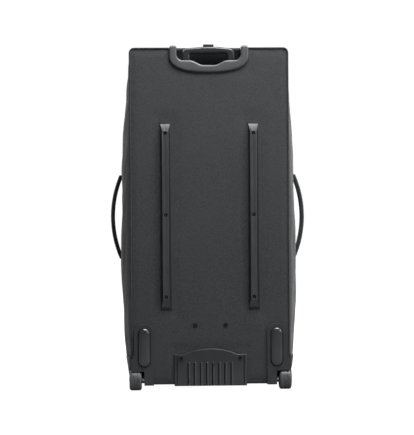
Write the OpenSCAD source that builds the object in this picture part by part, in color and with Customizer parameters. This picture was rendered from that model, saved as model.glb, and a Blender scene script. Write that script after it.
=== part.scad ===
// Large wheeled snowboard gear bag. A soft tub and a hinged soft lid stand on two corner
// wheels and two front feet. The stiff back carries skid rails, a kick plate and a
// telescopic handle. The bag stands upright, its back towards -Y and its lid towards +Y.

/* [Bag body] */
// Width across the flat back panel, from piping to piping
back_width = 394; // [386:2:400]
// Height of the top of the bag above the floor
body_top = 855; // [845:5:870]
// Height of the bottom panel above the floor, at the back
body_floor = 16; // [15:1:18]
// Depth of the soft body, from the back panel to the lid's face
body_depth = 346; // [330:2:360]
// How far each side swells past the back panel at its fullest height
side_swell = 24; // [18:1:26]
// Thickness of the padded fabric walls
wall = 3; // [2:0.5:4]
// Depth of the tub, from the back panel to the main zip
tub_depth = 284; // [270:2:296]

/* [Skid rails] */
// Distance of each rail from the middle of the back
rail_x = 110; // [104:1:116]
// Height of the lower end of the rails
rail_low = 205; // [195:5:215]
// Length of each rail
rail_length = 466; // [440:2:480]
// Width of a rail where it sits on the back panel
rail_base = 26; // [24:1:28]
// Width of a rail's outer face
rail_face = 16; // [12:1:18]
// How far a rail stands off the back panel
rail_height = 12; // [10:0.5:13]

/* [Wheels] */
// Diameter of a wheel over its tyre
wheel_d = 56; // [54:1:58]
// Width of a wheel
wheel_w = 31; // [28:1:32]
// Distance of a wheel's middle from the middle of the bag
wheel_x = 188; // [186:1:190]
// Diameter of the axle
axle_d = 8; // [7:0.5:9]

/* [Telescopic handle] */
// Distance of each handle tube from the middle
tube_x = 56.75; // [55:0.25:58]
// Travel of the handle
handle_travel = 300; // [200:10:340]
// Width of the grip over its legs
grip_width = 133; // [130:1:136]
// Depth of the grip from back to front
grip_depth = 22; // [20:1:24]
// Travel of the release button
button_travel = 3; // [2:0.5:3]

/* [Side and haul handles] */
// Reach of a side handle from the middle of the bag
side_reach = 250; // [248:1:256]
// Height of the middle of the side handles
side_handle_z = 434; // [420:2:450]
// Half the distance between the sewn ends of a side handle
side_handle_half = 100; // [95:1:105]
// Reach of the haul handle from its sewn ends to its grip
haul_reach = 50; // [45:1:60]

/* [Hidden] */

$fn = 48;
far = 1200;              // longer than the whole bag, for cutting tools
slice_t = 0.01;          // thickness of the slices that the body is spanned over
pocket_depth = 12;       // depth of the pocket on the lid
slider_proud = 2;        // how far the pocket's slider stands off the pocket
total_depth = rail_height + body_depth + pocket_depth + slider_proud;
back_y = -total_depth / 2 + rail_height;
front_y = back_y + body_depth;
split_y = back_y + tub_depth;
split_gap = 0.6;         // gap between the tub's edge and the lid's edge
corner_r = 11;           // rounding of the body's corners, seen from behind
side_steps = 12;         // straight steps in each side's curve
swell_skew = 0.76;       // moves the fullest height below the middle
seam_gap = 0.02;         // keeps the side panels off the plane of the back panel's inner face
gusset_y = 45;           // depth over which the sides swell out of the back panel
front_round = 40;        // depth over which the lid's face is drawn in
front_draw = 5;          // drawing-in of the body towards the front
face_inset = 14;         // further drawing-in of the lid's face

board_t = 2.5;
board_half = 185;
board_low = 70;
board_top = 845;
inner_y = back_y + wall + board_t;   // inner face of the back board

notch_half = 80.5;       // half the width of the recess for the grip
notch_r = 16;
lip_z = body_top - 31;   // top edge of the bezel below the grip
lip_dip = 10.5;          // finger scoop in that edge
lip_dip_half = 42;
lip_dip_run = 16;
bezel_top = body_top + 7;
bezel_half = 99;
bezel_side = 24;         // straight height of the bezel's sides
bezel_drop = 42;
bezel_t = 7;
cup_wall = 3;
cup_half = 84;
cup_depth = 47;
cup_floor = body_top - 49;

tube_y = back_y + 21;    // middle plane of the handle tubes
tube_low = 155;
outer_tube = [19.2, 15.2];
stage_tube = [16, 12];
tube_wall = 1.3;
stage_wall = 1.2;
stage_low = 160;
leg_low = cup_floor + cup_wall + 3;
grip_top = body_top + 6;
bar_low = grip_top - 16.5;
leg_w = 19.5;
socket_top = leg_low + 18;
spring_seat = socket_top + 4;
spring_d = 8;
rod_d = 3.6;
yoke_t = 2.6;
yoke_top = grip_top - 8.8;
yoke_half = 59;
cavity_low = yoke_top - yoke_t - button_travel - 0.3;
cavity_top = yoke_top + 0.4;
grip_screw = [grip_width / 2 - leg_w + 2.8, spring_seat + 4];
button_size = [26, 12];
button_top = body_top + 12;
block_low = 165;
block_h = 25;
pin_d = 4;
pin_z = block_low + block_h / 2;
pin_inner = 2;
pin_outer = stage_tube[0] / 2 - 0.1;
bracket_low = 150;
bracket_h = 30;
bracket_half = 80;
bracket_y1 = back_y + 33;
stud_x = 38;
stud_z = 163.5;
cover_half = 84;
cover_low = 140;
cover_y1 = back_y + 37;
cover_t = 1.5;

rail_ramp = 23;
rail_screw_z = [rail_low + 30, rail_low + 235, rail_low + rail_length - 27];
screw_head_r = 4.2;
screw_shaft_r = 2.2;
kick_half = 90.5;
kick_low = body_floor - 4;
kick_shoulder = 90.5;
kick_arch_half = 67;
kick_arch_h = 14.5;
kick_t = 5;
kick_lip = 38;           // how far the plate's foot runs under the bag
kick_ribs = 8;
kick_rib_pitch = 15.35;
kick_rib_w = 4;
kick_rib_t = 2.5;
kick_rib_top = 71;
kick_screw = [74, 82];

axle_y = back_y + 17;
axle_z = wheel_d / 2;
wheel_out = wheel_x + wheel_w / 2;
wheel_in = wheel_x - wheel_w / 2;
hub_r = wheel_d / 2 - 6;
bearing_r = 11;
bearing_w = 7;
bearing_gap = 0.05;      // running clearance between the bearings and the axle
axle_cap_t = 2.6;        // how far an axle cap reaches into the wheel
leg_x0 = 142;            // inner edge of a wheel housing
leg_x1 = 166;            // outer face of the leg that holds the axle
plate_x1 = 191;          // outer edge of the housing's plate
plate_top = 166.5;
plate_t = 6;
wrap_top = 84;
wrap_t = 3;
wrap_depth = 62;
pocket_r = axle_z + 3;
pocket_edge = 49;
block_top_z = axle_z + pocket_r + 3;
housing_low = body_floor - 2;
housing_y1 = axle_y + pocket_r + 3;
housing_screw_z = [98, 140];
pill_x = 166;
pill_w = 29;
pill_low = 61;
pill_high = 157;
pill_t = 6;

foot_x = 125;
foot_y = 84;
foot_size = [64, 34];
foot_screw_gap = 40;

strap_axis_x = side_reach - 23.5;
strap_w = 25;
strap_t = 3;
pad_w = 32;
pad_t = 8.5;
side_handle_y = -20;
anchor_t = 2.5;
anchor_len = 40;
anchor_gap = 4;          // from a side handle's end to the webbing sewn down beyond it
anchor_fold = 6.8;       // height of the folded webbing at a side handle's end
haul_y = -60;
haul_x = 75;
haul_z = body_top + 1;
haul_grip_d = 12;
haul_grip_half = 90;

zip_w = 5.4;
zip_t = 2.2;
zip_end = -185;          // the main zip stops short of the hinged side
slider_size = [12, 11.5, 4.5];
slider_z = body_top - 1.8;
slider_left_x = 118;
slider_right_x = 134;
pull_size = [8, 30, 2];
pull_z = slider_z + slider_size[2] + 1.4;
pocket_half = 150;
pocket_low = 180;
pocket_high = 640;
pocket_wall = 2.5;
pocket_slot_half = 125;
pocket_slot_z = 596;
pocket_slot_h = 9;
pocket_y1 = front_y + pocket_depth;

function fullness(z) =
    let (s = pow((z - body_floor) / (body_top - body_floor), swell_skew)) 4 * s * (1 - s);
function half_width(z, swell) = back_width / 2 + swell * fullness(z);
function step_z(i, inset) =
    body_floor + inset + corner_r
    + (body_top - body_floor - 2 * inset - 2 * corner_r) * i / side_steps;
function corner(z, inset, swell, from) = [
    for (a = [from : 30 : from + 90])
        [half_width(z, swell) - inset - corner_r + corner_r * cos(a), z + corner_r * sin(a)]
];
function right_edge(inset, swell) = concat(
    corner(step_z(0, inset), inset, swell, -90),
    [for (i = [1 : side_steps - 1]) [half_width(step_z(i, inset), swell) - inset, step_z(i, inset)]],
    corner(step_z(side_steps, inset), inset, swell, 0)
);
function mirrored(points) = [for (i = [len(points) - 1 : -1 : 0]) [-points[i][0], points[i][1]]];
function both_sides(points) = concat(points, mirrored(points));

// Flat shape in X and Z, extruded from one Y to another
module upright(y0, y1) {
    translate([0, y1, 0]) rotate([90, 0, 0]) linear_extrude(y1 - y0) children();
}

module block(low, high) {
    translate(low) cube(high - low);
}

module y_rod(x, z, y0, y1, r) {
    translate([x, y0, z]) rotate([-90, 0, 0]) cylinder(h = y1 - y0, r = r);
}

module x_rod(x0, x1, y, z, r) {
    translate([x0, y, z]) rotate([0, 90, 0]) cylinder(h = x1 - x0, r = r);
}

module both() {
    children();
    mirror([1, 0, 0]) children();
}

// Seen from behind: the body's outline, drawn in by inset
module body_outline(inset, swell) {
    polygon(both_sides(right_edge(inset, swell)));
}

module body_slice(y, inset, swell) {
    upright(y, y + slice_t) body_outline(inset, swell);
}

// The whole soft body as one full form, drawn in by inset
module body_form(inset) {
    hull() {
        body_slice(back_y + inset, inset, 0);
        body_slice(back_y + gusset_y, inset, side_swell);
        body_slice(front_y - front_round, inset + front_draw, side_swell * 0.9);
        body_slice(front_y - inset - slice_t, inset + front_draw + face_inset, side_swell * 0.8);
    }
}

// A layer of the form, between two insets
module body_layer(outer, inner) {
    difference() {
        body_form(outer);
        body_form(inner);
    }
}

// Space that one wheel housing takes out of the right side of the body
module housing_space() {
    block([leg_x0, back_y - 20, -1], [far, housing_y1, block_top_z]);
}

module notch_outline() {
    polygon(both_sides(concat(
        [for (i = [0 : 6]) let (s = 1 - i / 6)
            [lip_dip_half - lip_dip_run * s, lip_z - lip_dip * (1 - cos(180 * s)) / 2]],
        [for (a = [-90 : 15 : 0])
            [notch_half - notch_r + notch_r * cos(a), lip_z + notch_r + notch_r * sin(a)]],
        [[notch_half, body_top + 60]]
    )));
}

module cup_space() {
    block([-cup_half, back_y - 20, cup_floor], [cup_half, back_y + cup_depth, far]);
}

module rail_screw_holes(r) {
    both() for (z = rail_screw_z) y_rod(rail_x, z, back_y - 20, inner_y + 8, r);
}

module kick_screw_holes(r) {
    both() y_rod(kick_screw[0], kick_screw[1], back_y - 20, inner_y + 3, r);
}

module stud_holes(r) {
    both() y_rod(stud_x, stud_z, back_y - 20, inner_y + 20, r);
}

module housing_screw_holes(r) {
    both() for (z = housing_screw_z) y_rod(pill_x, z, back_y - plate_t + 2, inner_y + 3, r);
}

module back_holes() {
    rail_screw_holes(screw_shaft_r);
    kick_screw_holes(screw_shaft_r);
    stud_holes(2.5);
    housing_screw_holes(screw_shaft_r);
}

// ---- soft tub and its stiffeners ----

module back_panel() {
    color([0.25, 0.26, 0.27]) difference() {
        upright(back_y, back_y + wall) body_outline(0, 0);
        upright(back_y - 1, back_y + wall + 1) notch_outline();
        both() housing_space();
        back_holes();
    }
}

module back_board() {
    color([0.12, 0.12, 0.13]) difference() {
        block([-board_half, back_y + wall, board_low], [board_half, inner_y, board_top]);
        upright(back_y, inner_y + 1) notch_outline();
        back_holes();
    }
}

module tub_walls() {
    difference() {
        intersection() {
            body_layer(0, wall);
            block([-far, back_y + wall, -1], [far, split_y, far]);
        }
        both() housing_space();
        cup_space();
    }
}

module side_panel() {
    color([0.22, 0.23, 0.24]) difference() {
        intersection() {
            body_layer(0, wall);
            block([150, back_y + wall + seam_gap, body_floor + corner_r],
                  [far, split_y, body_top - corner_r]);
        }
        housing_space();
    }
}

module side_panel_left() { mirror([1, 0, 0]) side_panel(); }
module side_panel_right() { side_panel(); }

module top_panel() {
    color([0.24, 0.25, 0.26]) intersection() {
        tub_walls();
        block([-far, back_y, body_top - corner_r], [far, split_y, far]);
    }
}

module bottom_panel() {
    color([0.2, 0.2, 0.21]) difference() {
        intersection() {
            tub_walls();
            block([-far, back_y, 0], [far, split_y, body_floor + corner_r]);
        }
        foot_screw_holes(screw_shaft_r);
    }
}

module bottom_board() {
    color([0.12, 0.12, 0.13]) difference() {
        intersection() {
            body_layer(wall, wall + board_t);
            block([-leg_x0 + 2, back_y + 60, 0], [leg_x0 - 2, split_y - 20, 40]);
        }
        foot_screw_holes(screw_shaft_r);
    }
}

module back_piping() {
    color([0.1, 0.1, 0.11]) difference() {
        upright(back_y - 1, back_y + wall - 0.5) difference() {
            body_outline(-2, 0);
            body_outline(0, 0);
        }
        block([-bezel_half, back_y - 5, 500], [bezel_half, back_y + 20, far]);
        block([-far, back_y - 5, -5], [far, back_y + 20, wrap_top]);
    }
}

module zip_ring(y0, y1) {
    intersection() {
        body_layer(-zip_t, 0);
        block([zip_end, y0, -5], [far, y1, far]);
    }
}

module tub_zip() {
    color([0.08, 0.08, 0.08]) zip_ring(split_y - zip_w, split_y);
}

module trolley_cover() {
    color([0.3, 0.3, 0.31]) difference() {
        block([-cover_half, inner_y, cover_low], [cover_half, cover_y1, cup_floor]);
        block([-cover_half + cover_t, inner_y - 1, cover_low + cover_t],
              [cover_half - cover_t, cover_y1 - cover_t, cup_floor + 1]);
    }
}

// ---- hard parts on the back ----

module rail(side) {
    color([0.27, 0.28, 0.29]) difference() {
        translate([side * rail_x, back_y, rail_low]) intersection() {
            linear_extrude(rail_length) polygon([
                [-rail_base / 2, 0], [-rail_face / 2, -rail_height],
                [rail_face / 2, -rail_height], [rail_base / 2, 0]
            ]);
            rotate([90, 0, 90]) linear_extrude(rail_base + 2, center = true) polygon([
                [0, 0], [0, rail_length],
                [-rail_height, rail_length - rail_ramp], [-rail_height, rail_ramp]
            ]);
        }
        rail_screw_holes(screw_shaft_r);
        for (z = rail_screw_z)
            y_rod(side * rail_x, z, back_y - rail_height - 1, back_y - rail_height + 4, screw_head_r + 0.4);
    }
}

module rail_left() { rail(-1); }
module rail_right() { rail(1); }

// Socket-head bolt along +Y
module bolt(x, z, head_y, head_h, tip_y, head_r, shaft_r) {
    difference() {
        y_rod(x, z, head_y, head_y + head_h, head_r);
        translate([x, head_y - 1, z]) rotate([-90, 0, 0]) cylinder(h = 2.6, r = head_r * 0.45, $fn = 6);
    }
    y_rod(x, z, head_y + head_h, tip_y, shaft_r);
}

module rail_screws() {
    color([0.08, 0.08, 0.09]) both() for (z = rail_screw_z)
        bolt(rail_x, z, back_y - rail_height + 1, 3, inner_y + 6, screw_head_r, screw_shaft_r);
}

module rail_nuts() {
    color([0.5, 0.5, 0.52]) both() for (z = rail_screw_z) difference() {
        union() {
            y_rod(rail_x, z, inner_y, inner_y + 1.2, 8);
            translate([rail_x, inner_y + 1.2, z]) rotate([-90, 0, 0]) cylinder(h = 4, r = 4.4, $fn = 6);
        }
        y_rod(rail_x, z, inner_y - 1, inner_y + 8, screw_shaft_r);
    }
}

function kick_arch_r() = (pow(kick_arch_half, 2) + pow(kick_arch_h, 2)) / (2 * kick_arch_h);

module kick_outline() {
    r = kick_arch_r();
    half_angle = asin(kick_arch_half / r);
    polygon(both_sides(concat(
        [[kick_half, kick_low], [kick_half, kick_shoulder]],
        [for (i = [0 : 12]) let (a = half_angle * (1 - i / 12))
            [r * sin(a), kick_shoulder + kick_arch_h - r + r * cos(a)]]
    )));
}

module kick_plate() {
    color([0.22, 0.22, 0.23]) difference() {
        union() {
            upright(back_y - kick_t, back_y) kick_outline();
            block([-kick_half, back_y - kick_t, kick_low], [kick_half, back_y + kick_lip, body_floor]);
            for (i = [0 : kick_ribs - 1]) translate([(i - (kick_ribs - 1) / 2) * kick_rib_pitch, 0, 0])
                block([-kick_rib_w / 2, back_y - kick_t - kick_rib_t, kick_low],
                      [kick_rib_w / 2, back_y - kick_t, kick_rib_top]);
        }
        kick_screw_holes(screw_shaft_r);
    }
}

module foot_places() {
    both() for (side = [-1, 1]) translate([foot_x + side * foot_screw_gap / 2, foot_y, 0]) children();
}

module foot_screw_holes(r) {
    foot_places() translate([0, 0, -1]) cylinder(h = 30, r = r);
}

module case_screws() {
    color([0.1, 0.1, 0.11]) {
        both() bolt(kick_screw[0], kick_screw[1], back_y - kick_t - 2.5, 2.5, inner_y + 2,
                    screw_head_r, screw_shaft_r);
        both() for (z = housing_screw_z) {
            y_rod(pill_x, z, inner_y, inner_y + 2.5, screw_head_r);
            y_rod(pill_x, z, back_y - plate_t + 2, inner_y, screw_shaft_r);
        }
        foot_places() {
            translate([0, 0, 4]) cylinder(h = 2.5, r = screw_head_r);
            translate([0, 0, 6.5]) cylinder(h = 20, r = screw_shaft_r);
        }
    }
}

module plate_outline() {
    r = 20;
    polygon(concat(
        [[leg_x0, housing_low]],
        [for (a = [180 : -15 : 90]) [leg_x0 + r + r * cos(a), plate_top - r + r * sin(a)]],
        [for (a = [90 : -15 : 0]) [plate_x1 - r + r * cos(a), plate_top - r + r * sin(a)]],
        [[plate_x1, wrap_top + 4], [back_width / 2 + 2, wrap_top - 6], [back_width / 2 + 2, housing_low]]
    ));
}

module pill_outline() {
    hull() for (z = [pill_low + pill_w / 2, pill_high - pill_w / 2])
        translate([pill_x, z]) circle(d = pill_w, $fn = 32);
}

// Room that the right wheel turns in, open to the back, the outside and the floor
module wheel_room() {
    x_rod(leg_x1, far, axle_y, axle_z, pocket_r);
    block([leg_x1, back_y - 40, -1], [far, axle_y, pocket_edge]);
    block([leg_x1, axle_y - 1, -1], [far, axle_y + pocket_r, axle_z]);
}

module wheel_housing() {
    color([0.2, 0.2, 0.21]) difference() {
        union() {
            upright(back_y - plate_t, back_y) plate_outline();
            upright(back_y - plate_t - pill_t, back_y - plate_t) pill_outline();
            intersection() {
                body_form(-wrap_t);
                block([leg_x0, back_y, housing_low], [far, housing_y1, block_top_z]);
            }
            intersection() {
                body_layer(-wrap_t, 0);
                block([back_width / 2 - 4, back_y, pocket_edge], [far, back_y + wrap_depth, wrap_top]);
            }
        }
        wheel_room();
        x_rod(leg_x0 - 1, leg_x1 + 1, axle_y, axle_z, axle_d / 2);
        housing_screw_holes(screw_shaft_r);
    }
}

module wheel_housing_left() { mirror([1, 0, 0]) wheel_housing(); }
module wheel_housing_right() { wheel_housing(); }

module axles() {
    color([0.7, 0.7, 0.72]) both() {
        x_rod(leg_x0, wheel_out - axle_cap_t, axle_y, axle_z, axle_d / 2);
        difference() {
            x_rod(leg_x1, wheel_in - 0.4, axle_y, axle_z, axle_d / 2 + 3);
            x_rod(leg_x1 - 1, wheel_in + 1, axle_y, axle_z, axle_d / 2);
        }
    }
}

module axle_caps() {
    color([0.15, 0.15, 0.16]) both() difference() {
        x_rod(wheel_out - axle_cap_t, wheel_out + 0.6, axle_y, axle_z, 7);
        translate([wheel_out - 1, axle_y, axle_z]) rotate([0, 90, 0]) cylinder(h = 4, r = 2.6, $fn = 6);
    }
}

// Ring about the wheel's own axis, from a profile drawn as radius and width
module wheel_ring() {
    translate([wheel_x, axle_y, axle_z]) rotate([0, 90, 0]) rotate_extrude($fn = 72) children();
}

module tyre() {
    shoulder = 7;
    color([0.13, 0.13, 0.13]) wheel_ring() polygon(concat(
        [[hub_r, -wheel_w / 2 + 1], [hub_r, wheel_w / 2 - 1]],
        [for (a = [90 : -15 : 0])
            [wheel_d / 2 - shoulder + shoulder * cos(a), wheel_w / 2 - shoulder + shoulder * sin(a)]],
        [for (a = [0 : -15 : -90])
            [wheel_d / 2 - shoulder + shoulder * cos(a), -wheel_w / 2 + shoulder + shoulder * sin(a)]]
    ));
}

module hub() {
    seat = wheel_w / 2 - 3 - bearing_w;
    color([0.3, 0.3, 0.31]) wheel_ring() polygon([
        [bearing_r, -wheel_w / 2 + 1], [bearing_r, -seat], [bearing_r - 2, -seat],
        [bearing_r - 2, seat], [bearing_r, seat], [bearing_r, wheel_w / 2 - 1],
        [hub_r, wheel_w / 2 - 1], [hub_r, -wheel_w / 2 + 1]
    ]);
}

module bearings() {
    color([0.75, 0.75, 0.77]) for (side = [-1, 1]) wheel_ring()
        translate([axle_d / 2 + bearing_gap, side * (wheel_w / 2 - 3 - bearing_w / 2) - bearing_w / 2])
            square([bearing_r - axle_d / 2 - bearing_gap, bearing_w]);
}

module tyre_left() { mirror([1, 0, 0]) tyre(); }
module hub_left() { mirror([1, 0, 0]) hub(); }
module bearings_left() { mirror([1, 0, 0]) bearings(); }
module tyre_right() { tyre(); }
module hub_right() { hub(); }
module bearings_right() { bearings(); }

module front_feet() {
    color([0.1, 0.1, 0.1]) difference() {
        both() translate([foot_x, foot_y, 0]) linear_extrude(26) square(foot_size, center = true);
        body_form(0);
        foot_screw_holes(screw_shaft_r);
        foot_places() translate([0, 0, -1]) cylinder(h = 7.5, r = screw_head_r + 0.3);
    }
}

// ---- telescopic handle ----

module bezel_outline() {
    polygon(both_sides(concat(
        [for (i = [0 : 14]) let (a = 90 * (1 - i / 14))
            [bezel_half * pow(max(cos(a), 0), 0.8),
             bezel_top - bezel_side - bezel_drop * pow(max(sin(a), 0), 0.8)]],
        [[bezel_half, bezel_top]]
    )));
}

module handle_bezel() {
    color([0.36, 0.37, 0.38]) difference() {
        union() {
            upright(back_y - bezel_t, back_y) bezel_outline();
            block([-bezel_half, back_y, body_top], [bezel_half, back_y + cup_depth + 5, bezel_top]);
        }
        upright(back_y - bezel_t - 1, back_y + 1) notch_outline();
        block([-notch_half, back_y - 1, body_top - 1], [notch_half, back_y + cup_depth - cup_wall, far]);
    }
}

module handle_cup() {
    color([0.08, 0.08, 0.08]) difference() {
        block([-cup_half, inner_y, cup_floor], [cup_half, back_y + cup_depth, body_top]);
        block([-cup_half + cup_wall, inner_y + cup_wall, cup_floor + cup_wall],
              [cup_half - cup_wall, back_y + cup_depth - cup_wall, far]);
        upright(inner_y - 1, inner_y + cup_wall + 1) notch_outline();
        both() tube_bar(outer_tube, cup_floor - 1, cup_floor + cup_wall + 1);
    }
}

// Upright rectangular bar about the right handle tube's middle line
module tube_bar(size, z0, z1) {
    translate([tube_x, tube_y, z0]) linear_extrude(z1 - z0) square(size, center = true);
}

module hollow_tube(size, t, z0, z1) {
    difference() {
        tube_bar(size, z0, z1);
        tube_bar(size - [2 * t, 2 * t], z0 - 1, z1 + 1);
    }
}

module outer_tubes() {
    color([0.6, 0.61, 0.63]) both() hollow_tube(outer_tube, tube_wall, tube_low, cup_floor);
}

module tube_bushes() {
    color([0.1, 0.1, 0.1]) both() difference() {
        union() {
            tube_bar(outer_tube, cup_floor, cup_floor + cup_wall);
            tube_bar(outer_tube + [4, 4], cup_floor + cup_wall, cup_floor + cup_wall + 2);
        }
        tube_bar(stage_tube + [0.6, 0.6], cup_floor - 1, cup_floor + cup_wall + 3);
    }
}

module tube_bracket() {
    color([0.15, 0.15, 0.16]) difference() {
        block([-bracket_half, inner_y, bracket_low], [bracket_half, bracket_y1, bracket_low + bracket_h]);
        both() tube_bar(outer_tube, tube_low, bracket_low + bracket_h + 1);
        stud_holes(2.5);
    }
}

module bracket_screws() {
    color([0.35, 0.35, 0.36]) both() bolt(stud_x, stud_z, back_y - 3, 3, inner_y + 20, 5.6, 2.5);
}

module stage_tubes() {
    color([0.72, 0.73, 0.75]) difference() {
        both() hollow_tube(stage_tube, stage_wall, stage_low, socket_top);
        both() x_rod(tube_x + 2, tube_x + 20, tube_y, pin_z, pin_d / 2 + 0.3);
    }
}

module grip_outline() {
    r = 17;
    half = grip_width / 2;
    inner = half - leg_w;
    inner_r = 6;
    polygon(both_sides(concat(
        [for (a = [90 : -22.5 : 0])
            [inner - inner_r + inner_r * cos(a), bar_low - inner_r + inner_r * sin(a)]],
        [[inner, leg_low], [half, leg_low]],
        [for (a = [0 : 15 : 90]) [half - r + r * cos(a), grip_top - 3.5 - r + r * sin(a)]],
        [[half * 0.4, grip_top - 1], [half * 0.2, grip_top]]
    )));
}

module grip() {
    difference() {
        upright(tube_y - grip_depth / 2, tube_y + grip_depth / 2) grip_outline();
        both() tube_bar(stage_tube, leg_low - 1, socket_top);
        both() translate([tube_x, tube_y, 0]) {
            translate([0, 0, socket_top - 1]) cylinder(h = cavity_low - socket_top + 2, d = rod_d + 0.8);
            translate([0, 0, spring_seat])
                cylinder(h = yoke_top - yoke_t - spring_seat + 0.4, d = spring_d + 0.6);
        }
        block([-yoke_half - 0.5, tube_y - 4.5, cavity_low], [yoke_half + 0.5, tube_y + 4.5, cavity_top]);
        block([-button_size[0] / 2 - 0.4, tube_y - button_size[1] / 2 - 0.4, cavity_low],
              [button_size[0] / 2 + 0.4, tube_y + button_size[1] / 2 + 0.4, far]);
        block([-far, tube_y - 40, grip_top + 1], [far, tube_y + 40, far]);
        grip_screw_holes();
    }
}

module grip_screw_holes() {
    both() y_rod(grip_screw[0], grip_screw[1], tube_y - 5, tube_y + grip_depth / 2 + 1, 1.1);
}

module grip_rear() {
    color([0.3, 0.31, 0.32]) intersection() {
        grip();
        block([-far, tube_y - 40, 0], [far, tube_y, far]);
    }
}

module grip_front() {
    color([0.26, 0.27, 0.28]) intersection() {
        grip();
        block([-far, tube_y, 0], [far, tube_y + 40, far]);
    }
}

module grip_screws() {
    color([0.1, 0.1, 0.1]) both() {
        y_rod(grip_screw[0], grip_screw[1], tube_y - 5, tube_y + grip_depth / 2, 1.1);
        y_rod(grip_screw[0], grip_screw[1], tube_y + grip_depth / 2, tube_y + grip_depth / 2 + 1.2, 2.2);
    }
}

module lock_blocks() {
    color([0.85, 0.85, 0.82]) difference() {
        both() tube_bar(stage_tube - [2 * stage_wall, 2 * stage_wall], block_low, block_low + block_h);
        both() x_rod(tube_x - 1, tube_x + 20, tube_y, pin_z, pin_d / 2 + 0.05);
    }
}

module button_springs() {
    color([0.8, 0.8, 0.8]) both() translate([tube_x, tube_y, spring_seat]) difference() {
        cylinder(h = yoke_top - yoke_t - spring_seat, d = spring_d);
        translate([0, 0, -1]) cylinder(h = 60, d = spring_d - 2.4);
    }
}

module push_button() {
    color([0.1, 0.1, 0.1]) block(
        [-button_size[0] / 2, tube_y - button_size[1] / 2, yoke_top],
        [button_size[0] / 2, tube_y + button_size[1] / 2, button_top]);
}

module release_rods() {
    color([0.65, 0.65, 0.67]) {
        block([-yoke_half, tube_y - 4, yoke_top - yoke_t], [yoke_half, tube_y + 4, yoke_top]);
        both() translate([tube_x, tube_y, block_low + block_h + button_travel + 1])
            cylinder(h = yoke_top - yoke_t - block_low - block_h - button_travel - 1, d = rod_d);
    }
}

module lock_pin() {
    color([0.6, 0.6, 0.62]) x_rod(tube_x + pin_inner, tube_x + pin_outer, tube_y, pin_z, pin_d / 2);
}

module lock_pin_left() { mirror([1, 0, 0]) lock_pin(); }
module lock_pin_right() { lock_pin(); }

// ---- webbing handles ----

function side_sag() = side_reach - pad_t / 2 - strap_axis_x;
function side_arc_r() = (pow(side_handle_half, 2) + pow(side_sag(), 2)) / (2 * side_sag());

// Part of the side handle's arc, as a flat band of the given width and thickness
module side_arc(width, thickness, half_angle) {
    r = side_arc_r();
    translate([strap_axis_x + side_sag() - r, side_handle_y, side_handle_z])
        rotate([90, 0, 0]) rotate([0, 0, -half_angle]) rotate_extrude(angle = 2 * half_angle, $fn = 96)
            translate([r - thickness / 2, -width / 2]) square([thickness, width]);
}

module side_handle() {
    end_angle = asin(side_handle_half / side_arc_r());
    color([0.07, 0.07, 0.08]) {
        side_arc(strap_w, strap_t, end_angle);
        side_arc(pad_w, pad_t, end_angle * 0.8);
    }
}

module side_handle_left() { mirror([1, 0, 0]) side_handle(); }
module side_handle_right() { side_handle(); }

module webbing_anchors() {
    color([0.07, 0.07, 0.08]) {
        intersection() {
            body_layer(-anchor_t, 0);
            union() {
                both() for (side = [-1, 1]) {
                    z = side_handle_z + side * (side_handle_half + anchor_gap + anchor_len / 2);
                    block([150, side_handle_y - strap_w / 2, z - anchor_len / 2],
                          [far, side_handle_y + strap_w / 2, z + anchor_len / 2]);
                }
                both() block([haul_x - strap_w / 2, haul_y - 30, 500],
                             [haul_x + strap_w / 2, haul_y - 1.6, far]);
            }
        }
        difference() {
            both() for (side = [-1, 1]) {
                z = side_handle_z + side * (side_handle_half + 1.2 + anchor_fold / 2);
                block([strap_axis_x - 14, side_handle_y - strap_w / 2, z - anchor_fold / 2],
                      [strap_axis_x + strap_t / 2, side_handle_y + strap_w / 2, z + anchor_fold / 2]);
            }
            body_form(0);
        }
    }
}

module haul_straps() {
    color([0.07, 0.07, 0.08]) both() block(
        [haul_x - strap_w / 2, haul_y, haul_z - 1.2],
        [haul_x + strap_w / 2, haul_y + haul_reach - haul_grip_d / 2, haul_z + 1.2]);
}

module haul_grip() {
    color([0.1, 0.1, 0.11])
        x_rod(-haul_grip_half, haul_grip_half, haul_y + haul_reach, haul_z - 1.2 + haul_grip_d / 2,
              haul_grip_d / 2);
}

// ---- lid ----

module lid_form() {
    intersection() {
        body_layer(0, wall);
        block([-far, split_y + split_gap, -1], [far, far, far]);
    }
}

module lid_panel() {
    color([0.24, 0.25, 0.26]) intersection() {
        lid_form();
        block([-far, front_y - wall, 0], [far, far, far]);
    }
}

module lid_gusset() {
    color([0.22, 0.23, 0.24]) intersection() {
        lid_form();
        block([-far, 0, 0], [far, front_y - wall, far]);
    }
}

module lid_zip() {
    color([0.08, 0.08, 0.08]) zip_ring(split_y + split_gap, split_y + split_gap + zip_w);
}

module front_pocket() {
    color([0.25, 0.26, 0.27]) difference() {
        block([-pocket_half, front_y, pocket_low], [pocket_half, pocket_y1, pocket_high]);
        block([-pocket_half + pocket_wall, front_y - 1, pocket_low + pocket_wall],
              [pocket_half - pocket_wall, pocket_y1 - pocket_wall, pocket_high - pocket_wall]);
        block([-pocket_slot_half, front_y, pocket_slot_z],
              [pocket_slot_half, pocket_y1 + 1, pocket_slot_z + pocket_slot_h]);
    }
}

module pocket_zip() {
    color([0.08, 0.08, 0.08]) block(
        [-pocket_slot_half, pocket_y1 - pocket_wall, pocket_slot_z],
        [pocket_slot_half, pocket_y1 - 0.5, pocket_slot_z + pocket_slot_h]);
}

module zip_slider(x) {
    color([0.2, 0.2, 0.21]) translate([x, split_y + split_gap / 2, slider_z]) {
        translate([-slider_size[0] / 2, -slider_size[1] / 2, 0]) cube(slider_size);
        for (side = [-1, 1]) translate([side * 5 - 1, -3, slider_size[2]]) cube([2, 6, 3]);
    }
}

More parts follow.
